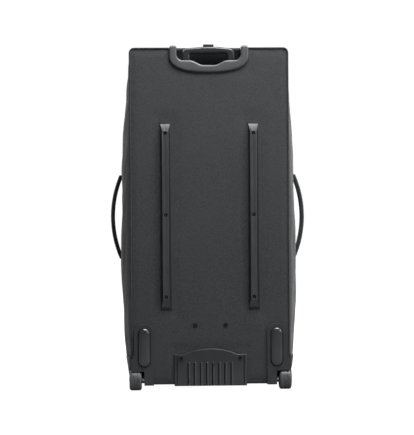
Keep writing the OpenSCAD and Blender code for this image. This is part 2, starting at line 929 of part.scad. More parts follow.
module zip_pull(x) {
    color([0.1, 0.1, 0.1]) translate([x, split_y + split_gap / 2, pull_z]) {
        translate([-3.4, 0, 0]) rotate([0, 90, 0]) cylinder(h = 6.8, r = 1);
        translate([-pull_size[0] / 2 + 0.6, -pull_size[1], -1]) cube([pull_size[0] - 1.2, pull_size[1], 2]);
    }
}

module zip_slider_left() { zip_slider(slider_left_x); }
module zip_slider_right() { zip_slider(slider_right_x); }
module zip_pull_left() { zip_pull(slider_left_x); }
module zip_pull_right() { zip_pull(slider_right_x); }

module pocket_slider() {
    color([0.2, 0.2, 0.21]) {
        block([-pocket_slot_half + 4, pocket_y1 + 0.3, pocket_slot_z - 1],
              [-pocket_slot_half + 14, pocket_y1 + slider_proud, pocket_slot_z + pocket_slot_h + 1]);
        block([-pocket_slot_half + 6, pocket_y1 + 0.3, pocket_slot_z - 28],
              [-pocket_slot_half + 12, pocket_y1 + slider_proud, pocket_slot_z - 1]);
    }
}

back_panel();
back_board();
side_panel_left();
side_panel_right();
top_panel();
bottom_panel();
bottom_board();
back_piping();
tub_zip();
trolley_cover();
rail_left();
rail_right();
rail_screws();
rail_nuts();
kick_plate();
case_screws();
wheel_housing_left();
wheel_housing_right();
axles();
axle_caps();
handle_bezel();
handle_cup();
outer_tubes();
tube_bushes();
tube_bracket();
bracket_screws();
front_feet();
webbing_anchors();
tyre_left();
hub_left();
bearings_left();
tyre_right();
hub_right();
bearings_right();
stage_tubes();
grip_rear();
grip_front();
grip_screws();
lock_blocks();
button_springs();
push_button();
release_rods();
lock_pin_left();
lock_pin_right();
side_handle_left();
side_handle_right();
haul_straps();
haul_grip();
lid_panel();
lid_gusset();
lid_zip();
front_pocket();
pocket_zip();
zip_slider_left();
zip_pull_left();
zip_slider_right();
zip_pull_right();
pocket_slider();
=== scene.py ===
import math

import bmesh
import bpy
from mathutils import Matrix, Vector, noise


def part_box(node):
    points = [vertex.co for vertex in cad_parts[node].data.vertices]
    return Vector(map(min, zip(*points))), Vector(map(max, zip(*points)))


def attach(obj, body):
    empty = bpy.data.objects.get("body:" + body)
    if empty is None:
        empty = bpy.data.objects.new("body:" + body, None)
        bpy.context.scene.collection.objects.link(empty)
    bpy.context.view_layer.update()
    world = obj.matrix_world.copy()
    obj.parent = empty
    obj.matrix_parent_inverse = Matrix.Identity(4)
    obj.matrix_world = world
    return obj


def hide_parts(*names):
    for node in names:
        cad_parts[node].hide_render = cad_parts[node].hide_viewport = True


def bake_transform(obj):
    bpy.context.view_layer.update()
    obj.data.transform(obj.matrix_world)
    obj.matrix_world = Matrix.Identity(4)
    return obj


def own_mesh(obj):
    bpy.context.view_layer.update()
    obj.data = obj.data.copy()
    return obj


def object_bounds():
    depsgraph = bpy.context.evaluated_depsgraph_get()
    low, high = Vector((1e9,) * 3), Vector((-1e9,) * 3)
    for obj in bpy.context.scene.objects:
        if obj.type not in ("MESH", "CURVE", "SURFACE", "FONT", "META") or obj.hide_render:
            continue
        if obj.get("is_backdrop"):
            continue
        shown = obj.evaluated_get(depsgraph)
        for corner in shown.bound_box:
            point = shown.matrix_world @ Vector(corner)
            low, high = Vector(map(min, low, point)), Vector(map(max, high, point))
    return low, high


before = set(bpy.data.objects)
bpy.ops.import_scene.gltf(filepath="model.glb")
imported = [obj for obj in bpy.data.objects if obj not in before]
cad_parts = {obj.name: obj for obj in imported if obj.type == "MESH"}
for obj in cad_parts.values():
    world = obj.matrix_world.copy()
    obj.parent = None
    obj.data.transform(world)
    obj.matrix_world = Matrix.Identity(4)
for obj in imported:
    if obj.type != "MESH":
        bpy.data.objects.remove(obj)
cad_low, cad_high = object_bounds()

# ---------------------------------------------------------------- measures, in metres
back_low, back_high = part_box("back_panel")
side_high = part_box("side_panel_right")[1]
rail_low, rail_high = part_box("rail_right")
FLOOR, TOP = back_low.z, back_high.z
HALF = back_high.x
BACK_Y = back_low.y
SPLIT_Y = side_high.y
FRONT_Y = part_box("lid_panel")[1].y
SWELL = side_high.x - HALF
MIDDLE_Z = (FLOOR + TOP) / 2
GUSSET = 0.045
FRONT_ROUND = 0.040
FRONT_DRAW = 0.005
FACE_INSET = 0.014
CORNER = 0.011
WALL = 0.003
RAIL_X, RAIL_LOW, RAIL_HIGH = (rail_low.x + rail_high.x) / 2, rail_low.z, rail_high.z
HOUSING_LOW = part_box("wheel_housing_right")[0]
BEZEL_LOW, BEZEL_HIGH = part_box("handle_bezel")
CUP_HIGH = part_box("handle_cup")[1]
KICK_LOW, KICK_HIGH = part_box("kick_plate")
LOOP_LOW, LOOP_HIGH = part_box("side_handle_right")
SIDES = ((1, "right"), (-1, "left"))


# ---------------------------------------------------------------- small sums
def clamp(value):
    return min(1.0, max(0.0, value))


def smoothstep(share):
    return share * share * (3 - 2 * share)


def bent(value, power):
    """A cosine or sine drawn towards its ends, so that a circle becomes a rounded square."""
    return math.copysign(abs(value) ** power, value)


def quarter_round(share):
    """The height of a quarter circle, from 0 at its foot to 1 at its top."""
    return math.sqrt(max(0.0, 1 - (1 - share) ** 2))


# ---------------------------------------------------------------- node helpers
def new_material(name):
    material = bpy.data.materials.new(name)
    material.use_nodes = True
    tree = material.node_tree
    return material, tree, tree.nodes["Principled BSDF"]


def feed(tree, made, **values):
    """Sets or links a node's inputs, _ standing for a space in their names. Other names are its settings."""
    for key, value in values.items():
        entry = key.replace("_", " ")
        if entry not in made.inputs:
            setattr(made, key, value)
        elif isinstance(value, bpy.types.NodeSocket):
            tree.links.new(value, made.inputs[entry])
        else:
            made.inputs[entry].default_value = value
    return made


def node(tree, kind, **values):
    return feed(tree, tree.nodes.new(kind), **values)


def ramp(tree, source, low, high, start=0.0, end=1.0):
    made = node(tree, "ShaderNodeValToRGB", Fac=source)
    for stop, color, position in zip(made.color_ramp.elements, (low, high), (start, end)):
        stop.color, stop.position = (*color, 1), position
    return made.outputs["Color"]


def math_node(tree, operation, a, b=0.0):
    made = node(tree, "ShaderNodeMath", operation=operation)
    for entry, value in zip(made.inputs, (a, b)):
        if isinstance(value, (int, float)):
            entry.default_value = value
        else:
            tree.links.new(value, entry)
    return made.outputs[0]


def times(tree, a, b):
    return math_node(tree, "MULTIPLY", a, b)


def weighted(tree, first, *rest):
    """The sum of sources, each given with its weight."""
    total = times(tree, *first)
    for source in rest:
        total = math_node(tree, "ADD", total, times(tree, *source))
    return total


def remap(tree, source, low, high, **limits):
    return node(tree, "ShaderNodeMapRange", To_Min=low, To_Max=high, Value=source, **limits).outputs["Result"]


def noise_of(tree, coordinates, scale, detail=3.0, roughness=0.55, distortion=0.0):
    return node(tree, "ShaderNodeTexNoise", Vector=coordinates, Scale=scale, Detail=detail, Roughness=roughness,
                Distortion=distortion).outputs["Fac"]


def bump(tree, shader, height, strength, distance):
    made = node(tree, "ShaderNodeBump", Strength=strength, Distance=distance, Height=height)
    feed(tree, shader, Normal=made.outputs["Normal"])


def coordinates_of(tree, kind):
    return node(tree, "ShaderNodeTexCoord").outputs[kind]


def scaled(color, factor):
    return tuple(min(1.0, c * factor) for c in color)


# ---------------------------------------------------------------- materials
def thread_height(tree, coordinates, pitch, second=1):
    """Over-and-under threads: two crossing sine waves, swapped in a checker pattern."""
    split = node(tree, "ShaderNodeSeparateXYZ", Vector=coordinates)
    across, along = [math_node(tree, "SINE", times(tree, split.outputs[axis], math.pi / pitch))
                     for axis in (0, second)]
    side = math_node(tree, "GREATER_THAN", times(tree, across, along), 0.0)
    over = times(tree, math_node(tree, "ABSOLUTE", across), side)
    under = times(tree, math_node(tree, "ABSOLUTE", along), math_node(tree, "SUBTRACT", 1.0, side))
    return math_node(tree, "ADD", over, under)


def woven_cloth(name, color, pitch=0.0009, kind="UV", sheen=0.25):
    """Plain-woven polyester with slubs, faint dusty patches and a matt sheen."""
    material, tree, shader = new_material(name)
    solid = coordinates_of(tree, "Object")
    threads = thread_height(tree, coordinates_of(tree, kind), pitch, 1 if kind == "UV" else 2)
    slubs = noise_of(tree, solid, 420.0, 3.0, 0.7)
    melange = noise_of(tree, solid, 300.0, 1.0)
    patches = noise_of(tree, solid, 5.0, 4.0)
    tone = weighted(tree, (threads, 0.2), (slubs, 0.4), (melange, 0.5), (patches, 0.15))
    feed(tree, shader, Base_Color=ramp(tree, tone, scaled(color, 0.62), scaled(color, 1.38), 0.44, 0.84),
         Roughness=remap(tree, slubs, 0.78, 0.95), Sheen_Weight=sheen, Sheen_Roughness=0.45,
         Specular_IOR_Level=0.25)
    bump(tree, shader, weighted(tree, (threads, 1.0), (slubs, 0.4)), 0.5, 0.0003)
    return material


def ribbed_webbing(name, color):
    """Close-ribbed strap webbing, its ribs running along the strap's own length."""
    material, tree, shader = new_material(name)
    threads = thread_height(tree, coordinates_of(tree, "UV"), 0.0016)
    fuzz = noise_of(tree, coordinates_of(tree, "Object"), 700.0)
    tone = weighted(tree, (threads, 0.6), (fuzz, 0.4))
    feed(tree, shader, Base_Color=ramp(tree, tone, scaled(color, 0.55), scaled(color, 1.5)),
         Roughness=remap(tree, fuzz, 0.6, 0.85), Sheen_Weight=0.15)
    bump(tree, shader, threads, 0.7, 0.0005)
    return material


def moulded_plastic(name, color, gloss, depth=0.25, wear=0.25, specular=0.5, lighter_below=None):
    """Moulded plastic with a fine etched grain, uneven gloss and scuffs; given a height, it is drawn lighter below
    it.
    """
    material, tree, shader = new_material(name)
    solid = coordinates_of(tree, "Object")
    etched = noise_of(tree, solid, 900.0, 2.0)
    cloud = noise_of(tree, solid, 22.0, 4.0)
    scuffs = noise_of(tree, solid, 55.0, 6.0, 0.7, 1.4)
    marks = ramp(tree, scuffs, (0, 0, 0), (1, 1, 1), 0.62, 0.78)
    base = ramp(tree, weighted(tree, (cloud, 0.6), (etched, 0.4)),
                scaled(color, 0.85), scaled(color, 1.15), 0.3, 0.7)
    worn = times(tree, marks, wear)
    # Drawn lighter towards the bottom, below the given height.
    if lighter_below:
        height = node(tree, "ShaderNodeSeparateXYZ", Vector=solid).outputs["Z"]
        low = remap(tree, height, 0.0, 0.55, From_Min=lighter_below, From_Max=lighter_below * 0.3)
        worn = math_node(tree, "ADD", worn, low)
    mix = node(tree, "ShaderNodeMix", data_type="RGBA", Factor=worn, A=base, B=(*scaled(color, 1.8), 1))
    feed(tree, shader, Base_Color=mix.outputs["Result"], Specular_IOR_Level=specular,
         Roughness=remap(tree, cloud, gloss - 0.08, gloss + 0.1))
    bump(tree, shader, etched, depth, 0.0002)
    return material


def turned_metal(name, color, rough=0.3):
    """Drawn or turned metal with fine streaks."""
    material, tree, shader = new_material(name)
    place = node(tree, "ShaderNodeMapping", Scale=(400.0, 400.0, 12.0), Vector=coordinates_of(tree, "Object"))
    streaks = noise_of(tree, place.outputs["Vector"], 1.0, 4.0)
    feed(tree, shader, Base_Color=ramp(tree, streaks, scaled(color, 0.85), scaled(color, 1.1)), Metallic=1.0,
         Roughness=remap(tree, streaks, rough - 0.08, rough + 0.12))
    bump(tree, shader, streaks, 0.1, 0.0002)
    return material


def cast_rubber(name, color):
    """Polyurethane tread, dusty and slightly pitted where it meets the ground."""
    material, tree, shader = new_material(name)
    solid = coordinates_of(tree, "Object")
    dust = noise_of(tree, solid, 60.0, 5.0)
    feed(tree, shader, Base_Color=ramp(tree, dust, scaled(color, 0.8), scaled(color, 1.6), 0.35, 0.75),
         Roughness=remap(tree, dust, 0.3, 0.52))
    bump(tree, shader, noise_of(tree, solid, 350.0, 3.0), 0.3, 0.0003)
    return material


FABRIC_BACK = woven_cloth("back_cloth", (0.0348, 0.0381, 0.0402))
FABRIC_SIDE = woven_cloth("side_cloth", (0.036, 0.038, 0.040))
FABRIC_LINING = woven_cloth("lining_cloth", (0.12, 0.12, 0.125))
COVER_CLOTH = woven_cloth("cover_cloth", (0.10, 0.10, 0.105), kind="Object")
WEBBING = ribbed_webbing("black_webbing", (0.007, 0.007, 0.008))
PIPING = woven_cloth("piping_cloth", (0.027, 0.029, 0.031), pitch=0.0007, sheen=0.12)
THREAD = woven_cloth("sewing_thread", (0.05, 0.053, 0.055), kind="Object", pitch=0.0004)
PLASTIC_GREY = moulded_plastic("grey_moulding", (0.039, 0.0415, 0.044), gloss=0.38)
# Darker plastic laid on both side faces of each rail: painted shade on the flanks.
RAIL_FLANK_SHADE = moulded_plastic("rail_flank_painted_shade", (0.013, 0.014, 0.016), gloss=0.45, specular=0.3)
PLASTIC_DARK = moulded_plastic("dark_moulding", (0.031, 0.032, 0.036), gloss=0.33)
PILL_PLASTIC = moulded_plastic("pill_moulding", (0.032, 0.033, 0.037), gloss=0.17, depth=0.08, specular=0.7)
# Near-black plastic for thin cords laid along rims, ribs and grooves: painted shade, not a real part.
PAINTED_SHADE = moulded_plastic("crease_shade", (0.004, 0.004, 0.005), gloss=0.7, specular=0.1)
SCREW_BLACK = moulded_plastic("black_screw_finish", (0.004, 0.004, 0.005), gloss=0.5, specular=0.2)
KICK_PLASTIC = moulded_plastic("kick_moulding", (0.027, 0.028, 0.0295), gloss=0.33, lighter_below=0.078)
RIB_PLASTIC = moulded_plastic("rib_moulding", (0.046, 0.047, 0.049), gloss=0.28, wear=0.5, lighter_below=0.078)
BEZEL_PLASTIC = moulded_plastic("bezel_moulding", (0.071, 0.0735, 0.076), gloss=0.34, wear=0.4)
# Near-black plastic for the handle cup: its own black colour, darkened further as painted shade inside the recess.
CUP_SHADED_PLASTIC = moulded_plastic("cup_moulding", (0.004, 0.004, 0.005), gloss=0.7, specular=0.12)
PLASTIC_BLACK = moulded_plastic("black_moulding", (0.014, 0.014, 0.015), gloss=0.45)
GRIP_PLASTIC = moulded_plastic("grip_moulding", (0.026, 0.028, 0.030), gloss=0.2, wear=0.05)
SHEET_PLASTIC = moulded_plastic("pressed_board", (0.03, 0.03, 0.032), gloss=0.6)
TYRE_RUBBER = cast_rubber("tyre_tread", (0.070, 0.071, 0.074))
# A lighter plastic for the rail screws' dished centres: a painted glint.
SOCKET_GLINT = moulded_plastic("socket_painted_glint", (0.055, 0.057, 0.06), gloss=0.45)
BLACK_STEEL = turned_metal("blackened_steel", (0.03, 0.03, 0.032), rough=0.4)
BRIGHT_STEEL = turned_metal("turned_steel", (0.55, 0.55, 0.56))
DRAWN_ALLOY = turned_metal("drawn_alloy", (0.62, 0.63, 0.65), rough=0.28)
COIL = moulded_plastic("zip_coil", (0.012, 0.012, 0.013), gloss=0.35)


# ---------------------------------------------------------------- mesh helpers
def as_piece(name, bm, material, body, slot=None, smooth=35.0):
    mesh = bpy.data.meshes.new(name)
    bm.to_mesh(mesh)
    bm.free()
    mesh.materials.append(material)
    piece = bpy.data.objects.new(name, mesh)
    bpy.context.scene.collection.objects.link(piece)
    mesh.shade_smooth()
    mesh.set_sharp_from_angle(angle=math.radians(smooth))
    if body:
        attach(piece, body)
    return piece


def grid(columns, rows, flat_of, place):
    """A grid. flat_of and place take a point's shares across and along, 0 to 1, and give its UV and its place."""
    bm = bmesh.new()
    bmesh.ops.create_grid(bm, x_segments=columns, y_segments=rows, size=0.5)
    flat = bm.loops.layers.uv.new("UVMap")
    for face in bm.faces:
        for loop in face.loops:
            loop[flat].uv = flat_of(loop.vert.co.x + 0.5, loop.vert.co.y + 0.5)
    for vert in bm.verts:
        vert.co = place(clamp(vert.co.x + 0.5), clamp(vert.co.y + 0.5))
    return bm


def surface(across, along, place, size=(1.0, 1.0), wrap=False):
    """A grid whose point at (u, v), each from 0 to 1, is moved to place(u, v). size is its flat size."""
    bm = grid(across, along, lambda u, v: (u * size[0], v * size[1]), place)
    if wrap:
        bmesh.ops.remove_doubles(bm, verts=bm.verts, dist=1e-6)
    return bm


def outward(bm):
    bmesh.ops.recalc_face_normals(bm, faces=bm.faces)
    return bm


def facing(bm, direction):
    """Turns an open sheet's faces so that they look along direction on the whole."""
    outward(bm)
    total = sum((f.normal * f.calc_area() for f in bm.faces), Vector())
    if total.dot(direction) < 0:
        bmesh.ops.reverse_faces(bm, faces=bm.faces)
    return bm


def away_from_axis(bm, centre):
    """Turns a sleeve's faces so that they look away from its middle line, which runs along Y through centre."""
    outward(bm)
    total = 0.0
    for face in bm.faces:
        middle = face.calc_center_median() - centre
        middle.y = 0
        total += face.normal.dot(middle) * face.calc_area()
    if total < 0:
        bmesh.ops.reverse_faces(bm, faces=bm.faces)
    return bm


def add_modifier(piece, kind, **values):
    made = piece.modifiers.new(kind.lower(), kind)
    for key, value in values.items():
        setattr(made, key, value)
    return made


def thicken(piece, thickness):
    add_modifier(piece, "SOLIDIFY", thickness=thickness, offset=-1.0, use_even_offset=False)


def apply_modifiers(piece):
    bpy.context.view_layer.update()
    shaped = bpy.data.meshes.new_from_object(piece.evaluated_get(bpy.context.evaluated_depsgraph_get()))
    piece.modifiers.clear()
    piece.data = shaped


def bevel(bm, edges, reach, steps):
    bmesh.ops.bevel(bm, geom=edges, offset=reach, segments=steps, profile=0.5, affect="EDGES", material=-1,
                    clamp_overlap=True)


def oblong(x_low, x_high, z_low, z_high):
    return [(x_low, z_low), (x_high, z_low), (x_high, z_high), (x_low, z_high)]


def arc(cx, cz, radius, start, end, steps):
    """Points along an arc in X and Z, between two angles in degrees."""
    turns = [math.radians(start + (end - start) * i / steps) for i in range(steps + 1)]
    return [(cx + radius * math.cos(turn), cz + radius * math.sin(turn)) for turn in turns]


def slab(outline, y_outer, y_inner, outer=0.0, inner=0.0, steps=3):
    """A plate drawn as points in X and Z, from y_outer (towards -Y) to y_inner, both rims rounded if wanted."""
    bm = bmesh.new()
    face = bm.faces.new([bm.verts.new((x, y_outer, z)) for x, z in outline])
    grown = bmesh.ops.extrude_face_region(bm, geom=[face])
    moved = [v for v in grown["geom"] if isinstance(v, bmesh.types.BMVert)]
    bmesh.ops.translate(bm, verts=moved, vec=(0, y_inner - y_outer, 0))
    outward(bm)
    for y, reach in ((y_outer, outer), (y_inner, inner)):
        if reach:
            bevel(bm, [e for e in bm.edges if all(abs(v.co.y - y) < 1e-6 for v in e.verts)], reach, steps)
    return bm


def rounded_slab(name, outline, y_outer, y_inner, material, slot, outer, inner=0.0, steps=4, body="bag"):
    return as_piece(name, slab(outline, y_outer, y_inner, outer, inner, steps), material, body, slot, smooth=40)


def tube(path, radius, around, closed):
    """A round cord along a list of points, its ends drawn to a point."""
    count = len(path)
    rows = count if closed else count + 1

    def place(u, v):
        index = round(v * rows)
        scale = 1.0 if closed or 0 < index < rows else 0.0
        if closed:
            index %= count
            tangent = path[(index + 1) % count] - path[(index - 1) % count]
        else:
            index = min(index, count - 1)
            tangent = path[min(index + 1, count - 1)] - path[max(index - 1, 0)]
        tangent.normalize()
        side = tangent.cross(Vector((0, 1, 0)))
        if side.length < 1e-4:
            side = tangent.cross(Vector((1, 0, 0)))
        side.normalize()
        up = tangent.cross(side)
        return path[index] + (side * math.cos(u * math.tau) + up * math.sin(u * math.tau)) * radius * scale

    length = sum((b - a).length for a, b in zip(path, path[1:]))
    return outward(surface(around, rows, place, size=(math.tau * radius, length), wrap=True))


def cord(name, path, radius, material, slot, around=8, closed=False, body="bag"):
    return as_piece(name, tube(path, radius, around, closed), material, body, slot, smooth=80)


def upright(x, y, low, length, count):
    """A straight line of points that runs up from low."""
    return [Vector((x, y, low + length * i / count)) for i in range(count + 1)]


def seeds(places, length, width, height):
    """Small rounded stitches: each place is (middle, direction, normal)."""
    bm = bmesh.new()
    for middle, direction, normal in places:
        side = direction.cross(normal).normalized()
        turn = Matrix((direction.normalized(), side, normal.normalized())).transposed().to_4x4()
        size = Matrix.Diagonal((length / 2, width / 2, height / 2, 1))
        bmesh.ops.create_icosphere(bm, subdivisions=1, radius=1.0,
                                   matrix=Matrix.Translation(middle) @ turn @ size)
    return bm


def refined(name, cad_nodes, material, body, slot, edge, steps=2, flat_at=None):
    """A bevelled copy of CAD nodes, standing for them. What stands out past Y = flat_at is pressed flat."""
    bm = bmesh.new()
    for cad_node in cad_nodes:
        bm.from_mesh(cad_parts[cad_node].data)
    if flat_at is not None:
        for vert in bm.verts:
            vert.co.y = max(vert.co.y, flat_at)
    bmesh.ops.remove_doubles(bm, verts=bm.verts, dist=1e-5)
    bmesh.ops.dissolve_limit(bm, angle_limit=math.radians(1.0), verts=bm.verts, edges=bm.edges)
    piece = as_piece(name, bm, material, body, slot, smooth=40.0)
    add_modifier(piece, "BEVEL", width=edge, segments=steps, limit_method="ANGLE",
                 angle_limit=math.radians(35), harden_normals=False)
    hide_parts(*cad_nodes)
    return piece


def fullness(z):
    share = clamp((z - FLOOR) / (TOP - FLOOR)) ** 0.76
    return 4 * share * (1 - share)


def around_lengths(half, height, radius):
    """The lengths of a rounded rectangle's parts, from the middle of its bottom: half, bend, side, bend, top ..."""
    flat, tall, bend = half - radius, height - 2 * radius, radius * math.pi / 2
    return [flat, bend, tall, bend, 2 * flat, bend, tall, bend, flat]


def rounded_rectangle(u, half, low, high, radius):
    """A point on a rounded rectangle in X and Z, u from 0 to 1, from the middle of its bottom towards +X."""
    flat, lengths = half - radius, around_lengths(half, high - low, radius)
    run = u * sum(lengths)
    for index, length in enumerate(lengths):
        if run <= length or index == len(lengths) - 1:
            break
        run -= length
    corners = {1: (flat, low + radius, -math.pi / 2), 3: (flat, high - radius, 0.0),
               5: (-flat, high - radius, math.pi / 2), 7: (-flat, low + radius, math.pi)}
    if index in corners:
        x, z, start = corners[index]
        turn = start + min(1.0, run / lengths[1]) * math.pi / 2
        return x + radius * math.cos(turn), z + radius * math.sin(turn)
    return {0: (run, low), 2: (half, low + radius + run), 4: (flat - run, high),
            6: (-half, high - radius - run), 8: (-flat + run, low)}[index]


def section(y):
    """How far the body is drawn in, and how much it swells, at a depth y."""
    if y < BACK_Y + GUSSET:
        return 0.0, SWELL * math.sin(math.pi / 2 * (y - BACK_Y) / GUSSET)
    share = (y - BACK_Y - GUSSET) / (FRONT_Y - FRONT_ROUND - BACK_Y - GUSSET)
    if share <= 1:
        return FRONT_DRAW * share, SWELL * (1 - 0.1 * share)
    share = min(1.0, (y - FRONT_Y + FRONT_ROUND) / FRONT_ROUND)
    drawn = FRONT_DRAW + FACE_INSET * (1 - math.sqrt(max(0.0, 1 - share * share)))
    return drawn, SWELL * (0.9 - 0.1 * share)


def body_point(u, y, lift=0.0):
    """A point on the body's skin: u runs round it, y is its depth, lift stands off the skin."""
    inset, swell = section(y)
    inset -= lift
    x, z = rounded_rectangle(u, HALF - inset, FLOOR + inset, TOP - inset, CORNER)
    return Vector((x * (1 + swell * fullness(z) / HALF), y, z))


def ring_turn(x, z):
    """The u of the body's skin nearest to a point, seen from behind."""
    return min((i / 2000 for i in range(2000)),
               key=lambda u: (body_point(u, SPLIT_Y) - Vector((x, SPLIT_Y, z))).length)


PERIMETER = 2 * (2 * HALF + TOP - FLOOR)


# ---------------------------------------------------------------- cloth simulation
CLOTH = {"quality": 4, "mass": 0.3, "tension_stiffness": 12.0, "compression_stiffness": 12.0,
         "shear_stiffness": 4.0, "bending_stiffness": 0.6, "air_damping": 2.0, "vertex_group_mass": "sewn",
         "use_pressure": True}


def settle(piece, held, pressure, gravity, frames, cap):
    """Lets a sheet fill and sag as cloth. held(co) is how firmly a point is sewn; cap limits how far it moves."""
    group = piece.vertex_groups.new(name="sewn")
    start = [v.co.copy() for v in piece.data.vertices]
    for index, co in enumerate(start):
        weight = held(co)
        if weight > 0:
            group.add([index], weight, "REPLACE")
    cloth = add_modifier(piece, "CLOTH")
    for key, value in CLOTH.items():
        setattr(cloth.settings, key, value)
    cloth.settings.uniform_pressure_force = pressure
    cloth.settings.effector_weights.gravity = gravity
    cloth.collision_settings.use_collision = False
    cloth.point_cache.frame_start, cloth.point_cache.frame_end = 1, frames
    scene = bpy.context.scene
    for number in range(1, frames + 1):
        scene.frame_set(number)
    moved = piece.evaluated_get(bpy.context.evaluated_depsgraph_get()).to_mesh()
    ends = [v.co.copy() for v in moved.vertices]
    piece.modifiers.remove(cloth)
    piece.vertex_groups.remove(group)
    for vert, a, b in zip(piece.data.vertices, start, ends):
        step = b - a
        if step.length > cap:
            step *= cap / step.length
        vert.co = a + step
    scene.frame_set(1)


# ---------------------------------------------------------------- sewn shell of the tub
def turns_of(half, corner, side, top):
    """The u values round the skin, for so many steps in its bottom half, each bend, each side and its top."""
    lengths = around_lengths(HALF, TOP - FLOOR, CORNER)
    values, run = [0.0], 0.0
    for length, part in zip(lengths, (half, corner, side, corner, top, corner, side, corner, half)):
        values += [(run + length * (i + 1) / part) / sum(lengths) for i in range(part)]
        run += length
    return values


TURNS = turns_of(22, 6, 80, 44)


def ring_sheet(depths):
    """A sleeve round the body through the given depths."""
    columns, rows = len(TURNS) - 1, len(depths) - 1
    bm = grid(columns, rows,
              lambda u, v: (TURNS[round(u * columns)] * PERIMETER, depths[round(v * rows)]),
              lambda u, v: body_point(TURNS[round(u * columns)] % 1.0, depths[round(v * rows)]))
    bmesh.ops.remove_doubles(bm, verts=bm.verts, dist=1e-6)
    return away_from_axis(bm, Vector((0, 0, MIDDLE_Z)))


def spaced(low, high, count, fine):
    """Depths from low to high, closer together at both ends when fine is near 1."""
    return [low + (high - low) * (share * (1 - fine) + (1 - math.cos(math.pi * share)) / 2 * fine)
            for share in (i / count for i in range(count + 1))]


def cut_out(piece, low, high, mirrored=False):
    """Opens a sheet inside a box, with clean edges on the box's faces."""
    bm = bmesh.new()
    bm.from_mesh(piece.data)
    for side in (1, -1) if mirrored else (1,):
        box = [sorted((side * low[0], side * high[0])), (low[1], high[1]), (low[2], high[2])]
        near = [f for f in bm.faces if all(any(box[k][0] - 0.03 < v.co[k] < box[k][1] + 0.03
                                               for v in f.verts) for k in range(3))]
        for k in range(3):
            for value in box[k]:
                point, normal = Vector((0, 0, 0)), Vector((0, 0, 0))
                point[k], normal[k] = value, 1
                near = [f for f in near if f.is_valid]
                geometry = set(near)
                for f in near:
                    geometry.update(f.edges)
                    geometry.update(f.verts)
                cut = bmesh.ops.bisect_plane(bm, geom=list(geometry), dist=1e-6, plane_co=point,
                                             plane_no=normal)
                near = [g for g in cut["geom"] if isinstance(g, bmesh.types.BMFace)]
        gone = [f for f in bm.faces if all(box[k][0] < f.calc_center_median()[k] < box[k][1]
                                           for k in range(3))]
        bmesh.ops.delete(bm, geom=gone, context="FACES")
    bm.to_mesh(piece.data)
    bm.free()


def slack(co, height):
    """Loose dents and pulls in a soft wall, out of the bag's middle line."""
    way = Vector((co.x, 0, co.z - MIDDLE_Z)).normalized()
    return way * (noise.noise(Vector((co.x * 12, co.y * 20, co.z * 9))) * height +
                  noise.noise(Vector((co.x * 31, co.y * 25, co.z * 28))) * height * 0.35)


def pulls(x, z, seed):
    """Long slanting pulls across a loosely filled panel, in metres."""
    return (noise.noise(Vector((x * 5 + z * 2, seed, z * 17 - x * 9))) * 0.0014 +
            noise.noise(Vector((x * 13 + z * 7, seed + 3, z * 6 - x * 4))) * 0.0010 +
            noise.noise(Vector((x * 8, seed + 6, z * 5))) * 0.0016)


def soften(piece, shape):
    """Moves a piece's points by shape(co)."""
    for vert in piece.data.vertices:
        vert.co = vert.co + shape(vert.co)


def quilted(co):
    """Shallow dents and pulled folds that a filled, stitched wall has; the left side is packed fuller."""
    edge = min(1.0, (co.y - BACK_Y) / 0.04, max(0.0, (SPLIT_Y - co.y) / 0.03))
    fold = noise.noise(Vector((co.x * 5, co.y * 22 + co.z * 4, co.z * 7))) * 0.0034
    slant = noise.noise(Vector((co.x * 4, co.y * 26 - co.z * 9, co.z * 5 + co.y * 4))) * 0.0016
    dent = slant + noise.noise(Vector((co.x * 16, co.y * 14, co.z * 14 + 4))) * 0.0012
    outward_way = Vector((co.x / HALF, 0, (co.z - MIDDLE_Z) / (TOP - MIDDLE_Z)))
    outward_way[0 if abs(outward_way.x) <= abs(outward_way.z) else 2] = 0
    packed = 0.0052 * math.exp(-((co.z - 0.625) / 0.125) ** 2) if co.x < -0.19 else 0.0
    if outward_way.z:
        fold, dent = (fold * 0.5, dent * 0.5) if outward_way.z > 0 else (0.0, 0.0)
    return outward_way.normalized() * (fold + dent - 0.0008 * abs(outward_way.x) + packed) * max(0.0, edge)


def cloth_piece(name, bm, body, slot="fabric_side", material=FABRIC_SIDE):
    return as_piece(name, bm, material, body, slot, smooth=60)


def line_inside(piece):
    """Gives a cloth wall its thickness, with the lining as its inner face."""
    piece.data.materials.append(FABRIC_LINING)
    thicken(piece, WALL)
    piece.modifiers[-1].material_offset = 1


tub_depths = spaced(BACK_Y + 0.0005, SPLIT_Y, 44, 0.5)
tub = cloth_piece("tub_shell", ring_sheet(tub_depths), "bag")
settle(tub, lambda co: 1.0 if co.y < BACK_Y + 0.004 or co.y > SPLIT_Y - 0.006
       else (0.9 if co.z < FLOOR + 0.004 or co.y < BACK_Y + 0.012 else 0.0),
       pressure=1.2, gravity=0.4, frames=18, cap=0.0032)
soften(tub, quilted)
cut_out(tub, (-0.087, BACK_Y - 0.01, TOP - 0.02), (0.087, -0.1285, TOP + 0.02))
cut_out(tub, (0.150, BACK_Y - 0.01, FLOOR - 0.02), (0.250, -0.1235, 0.068), mirrored=True)
line_inside(tub)
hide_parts("side_panel_left", "side_panel_right", "top_panel", "bottom_panel")


# ---------------------------------------------------------------- back panel
def back_half(z):
    reach = min(z - FLOOR, TOP - z)
    if reach >= CORNER:
        return HALF
    return HALF - CORNER + math.sqrt(max(0.0, CORNER ** 2 - (CORNER - reach) ** 2))


